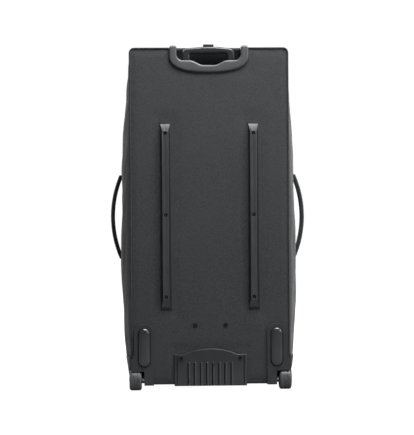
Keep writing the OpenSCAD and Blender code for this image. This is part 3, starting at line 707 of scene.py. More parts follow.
def back_crown(x, z):
    """How far the padded back stands out: pressed flat at its rim, under the rails and round the hardware."""
    rim = min(1.0, (HALF - abs(x)) / 0.016) * min(1.0, (TOP - z) / 0.02, (z - FLOOR) / 0.02)
    rail = min(1.0, max(0.0, (abs(abs(x) - RAIL_X) - 0.012)) / 0.03)
    along = min(1.0, max(0.0, (RAIL_LOW - z) / 0.04, (z - RAIL_HIGH) / 0.04))
    rail = max(rail, along)
    kick = min(1.0, 0.35 + max(0.0, abs(x) - 0.0905, z - 0.105) / 0.03)
    top = min(1.0, 0.35 + max(0.0, abs(x) - 0.099, BEZEL_LOW.z - z) / 0.03)
    product = math.prod(smoothstep(clamp(k)) for k in (rim, rail, kick, top))
    wave = noise.noise(Vector((x * 9, 3.0, z * 6))) * 0.0007 + noise.noise(Vector((x * 30, 8.0, z * 22))) * 0.00022
    return 0.0019 * product + wave * min(1.0, product * 3)


def back_place(u, v):
    z = FLOOR + 0.0005 + v * (TOP - FLOOR - 0.001)
    x = (2 * u - 1) * (back_half(z) - 0.0005)
    return Vector((x, BACK_Y - back_crown(x, z), z))


back = cloth_piece("back_sheet", facing(surface(110, 200, back_place, size=(2 * HALF, TOP - FLOOR)),
                                        Vector((0, -1, 0))), "bag", "fabric_back", FABRIC_BACK)
cut_out(back, (-0.086, BACK_Y - 0.01, 0.812), (0.086, BACK_Y + 0.01, TOP + 0.02))
cut_out(back, (0.160, BACK_Y - 0.01, FLOOR - 0.02), (0.250, BACK_Y + 0.01, 0.068), mirrored=True)
thicken(back, 0.0025)
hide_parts("back_panel")


# ---------------------------------------------------------------- lid and pocket
lid_ring_depths = spaced(SPLIT_Y + 0.0006, FRONT_Y, 22, 0.3)
lid_ring_depths = [y for y in lid_ring_depths if y < FRONT_Y - 0.0005] + [FRONT_Y - 0.0004]
lid_side = cloth_piece("lid_shell", ring_sheet(lid_ring_depths), "lid")
soften(lid_side, lambda co: Vector((0, 0, 0)) if co.y > FRONT_Y - 0.012 or co.y < SPLIT_Y + 0.008
       else slack(co, 0.0016))
settle(lid_side, lambda co: 1.0 if co.y < SPLIT_Y + 0.007 or co.y > FRONT_Y - 0.004 else 0.0,
       pressure=1.0, gravity=0.3, frames=14, cap=0.0025)
line_inside(lid_side)
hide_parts("lid_gusset")

face_inset_all, face_swell = section(FRONT_Y)
POCKET_LOW, POCKET_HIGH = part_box("front_pocket")


def face_half(z):
    low, high, half = FLOOR + face_inset_all, TOP - face_inset_all, HALF - face_inset_all
    reach = min(z - low, high - z)
    corner = HALF - face_inset_all - CORNER
    inner = corner + (CORNER if reach >= CORNER else
                      math.sqrt(max(0.0, CORNER ** 2 - (CORNER - max(0.0, reach)) ** 2)))
    return inner * (1 + face_swell * fullness(z) / HALF)


def face_place(u, v):
    low, high = FLOOR + face_inset_all, TOP - face_inset_all
    z = low + v * (high - low)
    x = (2 * u - 1) * face_half(z)
    z += (2 * v - 1) * 0.0012
    edge = min((1 - abs(2 * u - 1)) / 0.35, (1 - abs(2 * v - 1)) / 0.25, 1.0)
    edge = max(0.0, edge)
    crown = 0.0035 * math.sin(edge * math.pi / 2)
    return Vector((x * 1.004, FRONT_Y - 0.0004 + crown + pulls(x, z, 2.0) * edge, z))


lid_face = cloth_piece("lid_face", facing(surface(80, 150, face_place, size=(2 * HALF, TOP - FLOOR)),
                                          Vector((0, 1, 0))), "lid")
line_inside(lid_face)
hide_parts("lid_panel")

SLOT_Z = (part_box("pocket_zip")[0].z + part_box("pocket_zip")[1].z) / 2
SLOT_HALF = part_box("pocket_zip")[1].x


def pouch_place(u, v):
    """A sewn pouch: steep rounded walls, a full face that sags low, and a pinched slot for the zip."""
    half, low, high = POCKET_HIGH.x, POCKET_LOW.z, POCKET_HIGH.z
    x, z = (2 * u - 1) * half, low + v * (high - low)
    corner = 0.025
    over = Vector((max(0.0, abs(x) - half + corner), max(0.0, low + corner - z, z - high + corner)))
    if over.length > corner and over.x > 0 and over.y > 0:
        pull = corner / over.length
        x = math.copysign(half - corner + over.x * pull, x)
        z = (low + corner - over.y * pull) if z < low + corner else (high - corner + over.y * pull)
    rim = min(1.0, min(half - abs(x), z - low, high - z) / 0.012)
    if over.length > 0:
        rim = min(rim, max(0.0, (corner - min(over.length, corner)) / 0.012))
    rise = math.sin(max(0.0, rim) * math.pi / 2) ** 0.8
    belly = 0.0035 * math.sin(math.pi * u) * math.sin(math.pi * v ** 0.8) * (1.1 - 0.3 * v)
    near = max(0.0, 1 - abs(z - SLOT_Z) / 0.010)
    ends = clamp((SLOT_HALF + 0.006 - abs(x)) / 0.006)
    near = smoothstep(near) * ends
    fold = pulls(x, z, 7.0) * max(0.0, rim) * (1 - near)
    depth = (POCKET_HIGH.y - POCKET_LOW.y - 0.002) * rise + (belly + fold) * (1 - near) * max(0.0, rim)
    return Vector((x, FRONT_Y + 0.001 + depth - 0.0006 * near, z))


pouch = cloth_piece("pocket_pouch", facing(surface(110, 180, pouch_place, size=(
    2 * POCKET_HIGH.x, POCKET_HIGH.z - POCKET_LOW.z)), Vector((0, 1, 0))), "lid")
thicken(pouch, 0.0015)
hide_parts("front_pocket")


# ---------------------------------------------------------------- piping, seams and stitching
def side_path(y, lift, side, low, high):
    """Points up one side of the skin, over its shoulder and in along the top."""
    whole = [body_point(i / 4000, y, lift) for i in range(4001)]
    kept = [p for p in whole if p.x * side > 0 and p.z > low and (p.x * side > high or p.z < TOP - 0.03)]
    if side < 0:
        kept.reverse()
    return [kept[round(i * (len(kept) - 1) / 220)] for i in range(221)]


def paced(path, pitch):
    """Evenly spaced points along a path, each with the path's direction there."""
    carried = 0.0
    for a, b in zip(path, path[1:]):
        step = (b - a).length
        while carried < step:
            yield a.lerp(b, carried / step), b - a
            carried += pitch
        carried -= step


def stitched(name, rows, normal_at, slot, body="bag"):
    """Stitches laid end to end along paths."""
    places = [(middle, way, normal_at(middle)) for path in rows for middle, way in paced(path, 0.0034)]
    as_piece(name, seeds(places, 0.0026, 0.0006, 0.0005), THREAD, body, slot, smooth=80)


def out_of_side(point):
    return Vector((point.x, 0, 0)).normalized() if abs(point.x) > HALF - CORNER else Vector((0, 0, 1))


WRAP_TOP = 0.084
for side, name in SIDES:
    piping = cord(f"piping_{name}", side_path(BACK_Y + 0.0002, 0.0003, side, WRAP_TOP, BEZEL_HIGH.x), 0.0024,
                  PIPING, "piping", around=12)
    bm = slab([(side * (0.193 + dx), WRAP_TOP - 0.004 + dz) for dx, dz in
               ((0.0, 0.0), (0.0075, 0.0), (0.0085, 0.006), (0.0075, 0.011), (0.001, 0.011))],
              BACK_Y - 0.0032, BACK_Y + 0.004, 0.001)
    as_piece(f"piping_end_{name}", bm, WEBBING, "bag", "webbing")
    if side > 0:
        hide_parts("back_piping")
for side, name in SIDES:
    stitched(f"seam_stitches_{name}", [side_path(BACK_Y + 0.0075, 0.0004, side, 0.09, 0.10)], out_of_side, "piping")

SEWN_X, SEWN_LOW = HALF - 0.0065, 0.175
for side, name in SIDES:
    heights = [SEWN_LOW + (TOP - 0.022 - SEWN_LOW) * i / 399 for i in range(400)]
    path = [Vector((side * SEWN_X, BACK_Y - back_crown(SEWN_X, z) - 0.0001, z)) for z in heights]
    stitched(f"back_stitches_{name}", [path], lambda p: Vector((0, -1, 0)), "fabric_back")


# ---------------------------------------------------------------- zips
def zip_half(name, body, y_teeth, y_sewn):
    """One side of the zip: its tape on the skin, stitched down, and a row of coil teeth on the tape's edge."""
    path = [body_point(i / 520 % 1.0, SPLIT_Y, 0.0012) for i in range(521)]
    path = [point for point in path if point.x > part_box("tub_zip")[0].x]
    gaps = [(b - a).length for a, b in zip(path, path[1:])]
    split = max(range(len(gaps)), key=gaps.__getitem__)
    length = sum(gaps)
    if gaps[split] > 0.05:
        path = path[split + 1:] + path[:split + 1]
        length -= gaps[split]
    rows = len(path) - 1
    middle, half = (y_teeth + y_sewn) / 2, abs(y_sewn - y_teeth) / 2

    def place(u, v):
        base = path[round(v * rows)]
        way = out_of_side(base) if abs(base.z - MIDDLE_Z) < (TOP - FLOOR) / 2 - CORNER else \
            Vector((0, 0, math.copysign(1, base.z - MIDDLE_Z)))
        across, rise = bent(math.cos(u * math.tau), 0.4) * half, math.sin(u * math.tau) * 0.0007
        return Vector((base.x, middle + across, base.z)) + way * rise

    tape = cloth_piece(f"{name}_tape", outward(surface(12, rows, place, size=(0.012, length), wrap=True)), body,
                       "zip", WEBBING)
    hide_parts(name)
    coils = []
    for at, _ in paced(path, 0.0023):
        way = Vector((0, 0, math.copysign(1, at.z - MIDDLE_Z))) \
            if abs(at.z - MIDDLE_Z) > (TOP - FLOOR) / 2 - 0.004 else Vector((math.copysign(1, at.x), 0, 0))
        coils.append((Vector((at.x, y_teeth + math.copysign(0.0006, y_sewn - y_teeth), at.z)) + way * 0.0008,
                      Vector((0, 1, 0)), way))
    as_piece(f"{name}_coil", seeds(coils, 0.0030, 0.0015, 0.0016), COIL, body, "zip", smooth=80)
    sewn = [Vector((p.x, y_sewn + math.copysign(0.0014, y_teeth - y_sewn), p.z)) + out_of_side(p) * 0.0006
            for p in path]
    stitched(f"{name}_stitches", [sewn], out_of_side, "zip", body)


zip_half("tub_zip", "bag", SPLIT_Y + 0.0001, SPLIT_Y - 0.0054)
zip_half("lid_zip", "lid", SPLIT_Y + 0.0006, SPLIT_Y + 0.006)

TAPE_LOW, TAPE_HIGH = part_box("pocket_zip")


def pocket_tape(u, v):
    angle = u * math.tau
    return Vector(((2 * v - 1) * SLOT_HALF, (TAPE_LOW.y + TAPE_HIGH.y) / 2 + 0.0009 * math.sin(angle),
                   SLOT_Z + 0.0045 * bent(math.cos(angle), 0.4)))


tape = cloth_piece("pocket_tape", outward(surface(12, 60, pocket_tape, size=(0.012, 2 * SLOT_HALF), wrap=True)),
                   "lid", "zip", WEBBING)
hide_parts("pocket_zip")
teeth = [(Vector((-SLOT_HALF + 0.002 + i * 0.0022, TAPE_HIGH.y - 0.0001, SLOT_Z)),
          Vector((0, 0, 1)), Vector((0, 1, 0))) for i in range(int((2 * SLOT_HALF - 0.004) / 0.0022))]
as_piece("pocket_coil", seeds(teeth, 0.0052, 0.0014, 0.0014), COIL, "lid", "zip", smooth=80)
for row, name in ((-1, "low"), (1, "high")):
    z = SLOT_Z + row * 0.0085
    v = (z - POCKET_LOW.z) / (POCKET_HIGH.z - POCKET_LOW.z)
    path = [Vector((x / 1000, pouch_place((x / 1000 / POCKET_HIGH.x + 1) / 2, v).y + 0.0001, z))
            for x in range(-124, 125, 2)]
    stitched(f"pocket_stitches_{name}", [path], lambda p: Vector((0, 1, 0)), "fabric_side", "lid")

for cad_node, body in (("zip_slider_left", "slider_left"), ("zip_slider_right", "slider_right"),
                       ("pocket_slider", "pocket_slide"), ("zip_pull_left", "pull_left"),
                       ("zip_pull_right", "pull_right")):
    refined(f"{cad_node}_cast", [cad_node], BLACK_STEEL, body, "slider_metal", edge=0.0004)

cord("lid_piping", [body_point(i / 520, FRONT_Y - 0.0015, 0.0004) for i in range(520)], 0.0022, PIPING, "piping",
     around=10, closed=True, body="lid")


# ---------------------------------------------------------------- lid hinge strip
hinge_line = [i / 1600 for i in range(1601) if body_point(i / 1600, SPLIT_Y).x < -0.2085]
HINGE_ROWS, HINGE_COLUMNS = 120, 12


def hinge_place(u, v):
    turn = hinge_line[round(v * (len(hinge_line) - 1))]
    base = body_point(turn, SPLIT_Y - 0.009 + 0.0186 * u, 0.0006)
    return base - Vector((math.sin(math.pi * u) * 0.0022, 0, 0))


strip = cloth_piece("lid_hinge_strip", facing(surface(HINGE_COLUMNS, HINGE_ROWS, hinge_place, size=(0.0186, 0.62)),
                                              Vector((-1, 0, 0))), None)
thicken(strip, 0.001)
apply_modifiers(strip)
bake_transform(strip)
hinge_length = sum((hinge_place(0.5, (i + 1) / HINGE_ROWS) - hinge_place(0.5, i / HINGE_ROWS)).length
                   for i in range(HINGE_ROWS))


# ---------------------------------------------------------------- hard parts on the back
for side in ("left", "right"):
    rail = refined(f"rail_{side}_moulding", [f"rail_{side}"], PLASTIC_GREY, "bag", "plastic_grey", edge=0.0013,
                   steps=3)
    # The rails' side faces take the darker plastic: painted shade on both flanks.
    rail.data.materials.append(RAIL_FLANK_SHADE)
    for face in rail.data.polygons:
        face.material_index = 1 if abs(face.normal.x) > 0.5 else 0
    refined(f"housing_{side}_moulding", [f"wheel_housing_{side}"], PLASTIC_DARK, "bag", "plastic_dark",
            edge=0.0014, steps=3, flat_at=BACK_Y - 0.006)
# The handle cup is drawn darker than its plastic: painted shade inside the recess.
refined("cup_moulding", ["handle_cup"], CUP_SHADED_PLASTIC, "bag", "plastic_black", edge=0.0005, steps=2)


# Pills: the raised panels on the wheel housings
PILL_X, PILL_HALF, PILL_LOW, PILL_HIGH = 0.166, 0.0147, 0.061, 0.157
PILL_BASE = BACK_Y - 0.0055
PILL_RISE = PILL_BASE - HOUSING_LOW.y + 0.0003
PILL = arc(0, PILL_HIGH - PILL_HALF + 0.0002, PILL_HALF, 0, 180, 16) + \
    arc(0, PILL_LOW + PILL_HALF - 0.0002, PILL_HALF, 180, 360, 16)
for side, name in SIDES:
    def pill_place(u, v):
        """u runs round the rim, v from the dome's middle line out to the rim."""
        x, z = PILL[round(u * len(PILL)) % len(PILL)]
        end = (PILL_HIGH if z > (PILL_LOW + PILL_HIGH) / 2 else PILL_LOW + 2 * PILL_HALF) - PILL_HALF
        share = math.sin(math.pi / 2 * v)
        rise = PILL_RISE * math.sqrt(max(0.0, 1 - share ** 2.3))
        return Vector((side * PILL_X + x * share, PILL_BASE - rise, end + (z - end) * share))

    bm = surface(len(PILL), 14, pill_place, size=(0.15, 0.02), wrap=True)
    bmesh.ops.holes_fill(bm, edges=bm.edges, sides=0)
    as_piece(f"pill_{name}", outward(bm), PILL_PLASTIC, "bag", "plastic_dark", smooth=60)
    # A thin dark cord round each pill's rim: painted shade where the pill meets the housing.
    ring = [Vector((side * PILL_X + x * 1.03, BACK_Y - 0.0061, z + 0.0004 * (1 if z > 0.11 else -1)))
            for x, z in PILL + PILL[:1]]
    cord(f"pill_rim_painted_shade_{name}", ring, 0.0009, PAINTED_SHADE, "plastic_dark")

# Kick plate: an arched plate with upright ribs; thin near-black cords near each side and down each rib's left side
# are painted shade
KICK_FACE, KICK_SHOULDER, ARCH_HALF = BACK_Y - 0.005, 0.0905, 0.067
ARCH_RISE = KICK_HIGH.z - KICK_SHOULDER
ARCH_R = (ARCH_HALF ** 2 + ARCH_RISE ** 2) / (2 * ARCH_RISE)
reach = math.degrees(math.asin(ARCH_HALF / ARCH_R))
arch = arc(0, KICK_HIGH.z - ARCH_R, ARCH_R, 90 - reach, 90 + reach, 28)
outline = [(-KICK_HIGH.x, KICK_LOW.z), (KICK_HIGH.x, KICK_LOW.z), (KICK_HIGH.x, KICK_SHOULDER)] + arch + \
    [(-KICK_HIGH.x, KICK_SHOULDER)]
kick = rounded_slab("kick_plate_moulding", outline, KICK_FACE, BACK_Y + 0.0002, KICK_PLASTIC, "plastic_dark",
                    outer=0.0016)
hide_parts("kick_plate")
rounded_slab("kick_plate_foot", oblong(-KICK_HIGH.x, KICK_HIGH.x, KICK_LOW.z, FLOOR), BACK_Y - 0.004, KICK_HIGH.y,
             KICK_PLASTIC, "plastic_dark", outer=0.0, inner=0.0008)
RIB_PITCH, RIB_HALF = 0.01535, 0.002
for number in range(8):
    x = (number - 3.5) * RIB_PITCH
    rib = arc(0, 0.0715 - RIB_HALF, RIB_HALF, 0, 180, 8) + \
        [(-RIB_HALF, KICK_LOW.z + 0.0005), (RIB_HALF, KICK_LOW.z + 0.0005)]
    rounded_slab(f"kick_rib_{number}", [(x + dx, z) for dx, z in rib], KICK_LOW.y, KICK_FACE + 0.0005,
                 RIB_PLASTIC, "plastic_dark", outer=0.0016)
    # A dark cord down each rib's left side only: painted shade, as if lit from the right.
    cord(f"kick_rib_painted_shade_{number}", upright(x - 0.0030, KICK_FACE - 0.0002, 0.0135, 0.056, 16), 0.0012, PAINTED_SHADE,
         "plastic_dark")
for side, name in SIDES:
    # A dark cord near each side of the plate: painted shade of a groove.
    cord(f"kick_groove_painted_shade_{name}", upright(side * 0.0838, KICK_FACE, 0.014, 0.074, 20), 0.0009, PAINTED_SHADE, "plastic_dark")
    # A dark cord along each side edge of the plate: painted shade where the plate meets the cloth.
    cord(f"kick_edge_painted_shade_{name}", upright(side * (KICK_HIGH.x + 0.0003), BACK_Y - 0.0008, 0.014, 0.076, 20), 0.0009,
         PIPING, "plastic_dark")

# Thin dark slabs under the rails' rims: painted shade where the rails meet the cloth
for side, name in SIDES:
    rail_shade_outline = oblong(side * RAIL_X - 0.0138, side * RAIL_X + 0.0138, RAIL_LOW - 0.0006, RAIL_HIGH + 0.0006)
    rounded_slab(f"rail_rim_painted_shade_{name}", rail_shade_outline, BACK_Y - 0.0022, BACK_Y + 0.0004, PIPING, "plastic_grey",
                 outer=0.0005, steps=2)


# Bezel: a broad rounded lip round the recess, with a smooth finger scoop in the middle
NOTCH_HALF, NOTCH_R, LIP_Z, DIP = 0.0805, 0.016, 0.824, 0.0105
BEZEL_FACE = BEZEL_LOW.y


def lip(x):
    share = clamp((0.047 - abs(x)) / 0.034)
    return LIP_Z + 0.0015 - (DIP + 0.0015) * smoothstep(share)


outer_line = [(BEZEL_HIGH.x * bent(math.cos(t), 0.8),
               BEZEL_HIGH.z - 0.024 - 0.042 * abs(math.sin(t)) ** 0.8)
              for t in [math.pi * i / 60 for i in range(61)]]
arm_top = BEZEL_HIGH.z + 0.0003
right_arm = arc(BEZEL_HIGH.x - 0.007, arm_top - 0.007, 0.007, 0, 90, 6) + \
    arc(NOTCH_HALF + 0.005, arm_top - 0.005, 0.005, 90, 180, 6)
inner_line = [(NOTCH_HALF, LIP_Z + NOTCH_R)] + \
    arc(NOTCH_HALF - NOTCH_R, LIP_Z + 0.0015 + NOTCH_R, NOTCH_R, 0, -90, 10)[1:] + \
    [(x / 1000, lip(x / 1000)) for x in range(60, -61, -3)] + \
    arc(-NOTCH_HALF + NOTCH_R, LIP_Z + 0.0015 + NOTCH_R, NOTCH_R, 270, 180, 10)[:-1] + \
    [(-NOTCH_HALF, LIP_Z + NOTCH_R)]
left_arm = arc(-NOTCH_HALF - 0.005, arm_top - 0.005, 0.005, 0, 90, 6) + \
    arc(-BEZEL_HIGH.x + 0.007, arm_top - 0.007, 0.007, 90, 180, 6)
bezel = rounded_slab("bezel_lip", list(reversed(outer_line)) + right_arm + inner_line + left_arm, BEZEL_FACE,
                     BACK_Y + 0.0055, BEZEL_PLASTIC, "plastic_grey", outer=0.0042, steps=6)
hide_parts("handle_bezel")
for side, name in SIDES:
    top_arm = [(side * NOTCH_HALF, TOP + 0.0002), (side * (NOTCH_HALF + 0.017), TOP + 0.0002),
               (side * (NOTCH_HALF + 0.0165), arm_top - 0.0015), (side * (NOTCH_HALF + 0.001), arm_top - 0.001)]
    rounded_slab(f"bezel_arm_{name}", top_arm, BACK_Y + 0.0005, CUP_HIGH.y + 0.0045, BEZEL_PLASTIC, "plastic_grey",
                 outer=0.0, inner=0.0015)
rounded_slab("bezel_front_bar", oblong(-NOTCH_HALF - 0.0165, NOTCH_HALF + 0.0165, TOP + 0.0002, arm_top - 0.0015),
             CUP_HIGH.y - 0.0002, CUP_HIGH.y + 0.005, BEZEL_PLASTIC, "plastic_grey", outer=0.001, inner=0.001,
             steps=3)

# Grip: an arched bar on two legs, well rounded for the hand
GRIP_A, GRIP_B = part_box("grip_rear")[0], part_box("grip_front")[1]
HALF_GRIP, LEG_IN, BAR_LOW = GRIP_B.x, 0.047, 0.8445
crown_line = [(HALF_GRIP * 0.72 * (1 - i / 10), 0.0) for i in range(21)]
crown_line = [(x, GRIP_B.z - 0.0035 * (x / (HALF_GRIP * 0.72)) ** 2) for x, _ in crown_line]
grip_outline = arc(HALF_GRIP - 0.0175, GRIP_B.z - 0.0035 - 0.0175, 0.0175, 0, 86, 12) + crown_line[1:-1] + \
    arc(-HALF_GRIP + 0.0175, GRIP_B.z - 0.0035 - 0.0175, 0.0175, 94, 180, 12) + \
    [(-HALF_GRIP, GRIP_A.z), (-LEG_IN, GRIP_A.z)] + arc(-LEG_IN + 0.006, BAR_LOW - 0.006, 0.006, 180, 90, 8) + \
    arc(LEG_IN - 0.006, BAR_LOW - 0.006, 0.006, 90, 0, 8) + [(LEG_IN, GRIP_A.z), (HALF_GRIP, GRIP_A.z)]
grip_piece = rounded_slab("grip_moulding", grip_outline, GRIP_A.y, GRIP_B.y, GRIP_PLASTIC, "grip_plastic",
                          outer=0.0052, inner=0.0052, steps=6, body="handle_stage")
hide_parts("grip_rear", "grip_front")
refined("button_moulding", ["push_button"], PLASTIC_BLACK, "release_button", "plastic_black", edge=0.0012, steps=3)
refined("feet_moulding", ["front_feet"], PLASTIC_BLACK, "bag", "plastic_black", edge=0.0012)
refined("cap_moulding", ["axle_caps"], PLASTIC_BLACK, "bag", "plastic_black", edge=0.0006)
for cad_node, body, material, slot in (
        ("rail_screws", "bag", SCREW_BLACK, "screw_black"), ("case_screws", "bag", BLACK_STEEL, "screw_black"),
        ("bracket_screws", "bag", BLACK_STEEL, "steel"), ("stage_tubes", "handle_stage", DRAWN_ALLOY, "alloy"),
        ("outer_tubes", "bag", DRAWN_ALLOY, "alloy"), ("grip_screws", "handle_stage", BLACK_STEEL, "screw_black")):
    turned_piece = refined(f"{cad_node}_turned", [cad_node], material, body, slot, edge=0.0002, steps=1)
    if cad_node == "rail_screws":
        # The dished centre of each rail screw takes the lighter finish: a painted glint where it catches the light.
        turned_piece.data.materials.append(SOCKET_GLINT)
        low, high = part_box("rail_screws")
        screw_z = (low.z + 0.0042, low.z + 0.2092, high.z - 0.0042)
        for face in turned_piece.data.polygons:
            off = min(math.hypot(abs(face.center.x) - RAIL_X, face.center.z - z) for z in screw_z)
            if low.y + 0.001 < face.center.y < low.y + 0.0025 and off < 0.0018:
                face.material_index = 1


def foot_of_bezel():
    """A soft dark line round the bezel: painted shade where the cloth is tucked under it."""
    path = []
    for i in range(181):
        c, s = math.cos(math.pi * i / 180), math.sin(math.pi * i / 180)
        path.append(Vector(((BEZEL_HIGH.x + 0.0006) * bent(c, 0.8), BACK_Y - 0.0021,
                            BEZEL_HIGH.z - 0.024 - (0.042 + 0.0006) * abs(s) ** 0.8)))
    ends = [Vector((point.x, point.y, TOP - 0.004)) for point in (path[0], path[-1])]
    return ends[:1] + path + ends[1:]


# The dark cord round the bezel is painted shade, not a part.
cord("bezel_rim_painted_shade", foot_of_bezel(), 0.0013, PIPING, "piping")


# Button springs: wire coils that are pressed short with the button
SPRING_LOW, SPRING_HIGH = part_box("button_springs")
for side, name in SIDES:
    wire, turns, steps = 0.0005, 5.5, 160
    height = SPRING_HIGH.z - SPRING_LOW.z - 2 * wire
    centre = (SPRING_LOW + SPRING_HIGH) / 2
    middle_x = side * (SPRING_HIGH.x - 0.004)
    path = [Vector((middle_x + 0.0034 * math.cos(math.tau * turns * i / steps),
                    centre.y + 0.0034 * math.sin(math.tau * turns * i / steps),
                    SPRING_LOW.z + wire + height * i / steps)) for i in range(steps + 1)]
    coil = cord(f"button_spring_{name}", path, wire, BRIGHT_STEEL, "steel", body="handle_stage")
    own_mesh(coil)
    if side > 0:
        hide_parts("button_springs")

# ---------------------------------------------------------------- wheels
def turned(name, profile, centre, material, body, slot):
    """A ring turned about the wheel's axle, from points of radius and width."""
    bm = bmesh.new()
    verts = [bm.verts.new((centre.x + w, centre.y, centre.z + r)) for r, w in profile]
    edges = [bm.edges.new(pair) for pair in zip(verts, verts[1:] + verts[:1])]
    bmesh.ops.spin(bm, geom=verts + edges, cent=centre, axis=(1, 0, 0), angle=math.tau, steps=128,
                   use_merge=True, use_duplicate=False)
    bmesh.ops.remove_doubles(bm, verts=bm.verts, dist=1e-6)
    return as_piece(name, outward(bm), material, body, slot, smooth=40)


for side, name in SIDES:
    low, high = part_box(f"tyre_{name}")
    centre = (low + high) / 2
    radius, half = (high.z - low.z) / 2, (high.x - low.x) / 2
    shoulder = 0.0068
    crown = [(radius - shoulder + shoulder * math.sin(a), half - shoulder + shoulder * math.cos(a))
             for a in [math.pi / 2 * i / 8 for i in range(9)]]
    tread = []
    for groove in (0.0046, -0.0046):
        tread += [(radius, groove + 0.0009), (radius - 0.0011, groove + 0.0005),
                  (radius - 0.0011, groove - 0.0005), (radius, groove - 0.0009)]
    other = [(r, -w) for r, w in reversed(crown)]
    profile = [(0.0221, half - 0.001)] + crown + tread + other + [(0.0221, -half + 0.001)]
    tyre = turned(f"tyre_{name}_cast", profile, centre, TYRE_RUBBER, f"wheel_{name}", "tyre")
    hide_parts(f"tyre_{name}")
    refined(f"hub_{name}_moulding", [f"hub_{name}"], PLASTIC_BLACK, f"wheel_{name}", "plastic_black", edge=0.0004)


# ---------------------------------------------------------------- side handles
LOOP_MIDDLE = (LOOP_LOW + LOOP_HIGH) / 2
STRAP_X = 0.2265
LOOP_HALF = 0.100
SAG = LOOP_HIGH.x - 0.00425 - STRAP_X
RADIUS = (LOOP_HALF ** 2 + SAG ** 2) / (2 * SAG)
END_TURN = math.asin(LOOP_HALF / RADIUS)
SEWN_TURN = math.acos(1 - (SAG + 0.0035) / RADIUS)


def bow(angle):
    """A point of the handle's middle line and the way out of it, in X and Z."""
    x = STRAP_X + SAG - RADIUS + RADIUS * math.cos(angle)
    return Vector((x, LOOP_MIDDLE.y, LOOP_MIDDLE.z + RADIUS * math.sin(angle))), \
        Vector((math.cos(angle), 0, math.sin(angle)))


def flat_loop(width, thickness, reach, rows, around, side, edge_power=0.35, padded=False):
    """A strap or pad along the handle's bow; it is rounded over at its rims and drawn in at its ends."""
    def place(u, v):
        middle, way = bow((2 * v - 1) * reach)
        ends = quarter_round(min(1.0, (1 - abs(2 * v - 1)) / 0.02)) if padded else (1.0 if 0 < v < 1 else 0.0)
        across = bent(math.cos(u * math.tau), edge_power) * width / 2 * ends
        thick = bent(math.sin(u * math.tau), 0.5) * thickness / 2 * ends - (0.0008 if padded else 0.0)
        at = middle + way * thick + Vector((0, across, 0))
        return Vector((side * at.x, at.y, at.z))

    return outward(surface(around, rows, place, size=(2 * width, 2 * reach * RADIUS), wrap=True))


for side, name in SIDES:
    sewn, free = (side * 0.2267, -0.02, 0.434), (side * 0.2335, -0.02, 0.434)
    strap = cloth_piece(f"loop_strap_{name}", flat_loop(0.025, 0.0026, END_TURN, 90, 24, side), None, "webbing",
                        WEBBING)
    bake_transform(strap)
    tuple(sewn)
    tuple(free)
    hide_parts(f"side_handle_{name}")
    pad = cloth_piece(f"loop_pad_{name}", flat_loop(0.0315, 0.0102, SEWN_TURN, 140, 40, side, 0.5, True), None,
                      "webbing", WEBBING)
    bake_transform(pad)
    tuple(sewn)
    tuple(free)
    rows = []
    for row in (-1, 1):
        bows = [bow((2 * i / 120 - 1) * END_TURN * 0.74) for i in range(121)]
        rows.append([Vector((side * (middle + way * 0.0042).x, middle.y + row * 0.0105, (middle + way * 0.0042).z))
                     for middle, way in bows])
    stitched(f"loop_stitches_{name}", rows, lambda p: Vector((side, 0, 0)), "webbing", f"side_loop_{name}")


def stitched_box(name, middle, width, height, normal, up):
    """Stitch rows of a box with a cross in it."""
    side = up.cross(normal).normalized()
    w, h = width / 2 - 0.003, height / 2 - 0.003
    corners = [middle + side * a * w + up * b * h for a, b in ((-1, -1), (1, -1), (1, 1), (-1, 1), (-1, -1))]
    places = []
    for a, b in list(zip(corners, corners[1:])) + [(corners[0], corners[2]), (corners[1], corners[3])]:
        count = max(2, int((b - a).length / 0.0032))
        places += [(a.lerp(b, (i + 0.5) / count), b - a, normal) for i in range(count)]
    as_piece(name, seeds(places, 0.0026, 0.0006, 0.0006), THREAD, "bag", "webbing", smooth=80)


def patch_on_side(side, low, high):
    """A webbing patch that lies on the bag's side, rounded over at its rims."""
    lows = [body_point(ring_turn(side * 0.21, low + (high - low) * i / 8), LOOP_MIDDLE.y, 0.0004).x
            for i in range(9)]

    def place(u, v):
        index = min(7, int(v * 8))
        skin = lows[index] + (lows[index + 1] - lows[index]) * (v * 8 - index)
        ends = quarter_round(min(1.0, min(v, 1 - v) / 0.04))
        across = bent(math.cos(u * math.tau), 0.3) * 0.0135 * (0.9 + 0.1 * ends)
        thick = (0.5 + 0.5 * math.sin(u * math.tau)) * 0.0021 * ends
        return Vector((skin + side * thick, LOOP_MIDDLE.y + across, low + (high - low) * v))

    return outward(surface(20, 40, place, size=(0.056, high - low), wrap=True)), lows[4]


UP, OUT = Vector((0, 0, 1)), Vector((0, 1, 0))
for side, name in SIDES:
    for end, low, high, box_z in (("top", 0.5245, 0.578, 0.559), ("foot", 0.290, 0.3435, 0.309)):
        bm, skin = patch_on_side(side, low, high)
        cloth_piece(f"anchor_{name}_{end}", bm, "bag", "webbing", WEBBING)
        stitched_box(f"anchor_stitches_{name}_{end}", Vector((skin + side * 0.0023, LOOP_MIDDLE.y, box_z)),
                     0.025, 0.026, Vector((side, 0, 0)), UP)
for side, name in SIDES:
    rounded_slab(f"haul_anchor_{name}", oblong(side * 0.075 - 0.0125, side * 0.075 + 0.0125, TOP, TOP + 0.0018),
                 -0.090, -0.0616, WEBBING, "webbing", outer=0.0006, inner=0.0006, steps=2)
    stitched_box(f"haul_stitches_{name}", Vector((side * 0.075, -0.076, TOP + 0.002)), 0.024, 0.026, UP, OUT)
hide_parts("webbing_anchors")


# ---------------------------------------------------------------- haul handle
GRIP_LOW, GRIP_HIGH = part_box("haul_grip")
refined("haul_tabs", ["haul_straps"], WEBBING, "haul_loop", "webbing", edge=0.0005, steps=2)


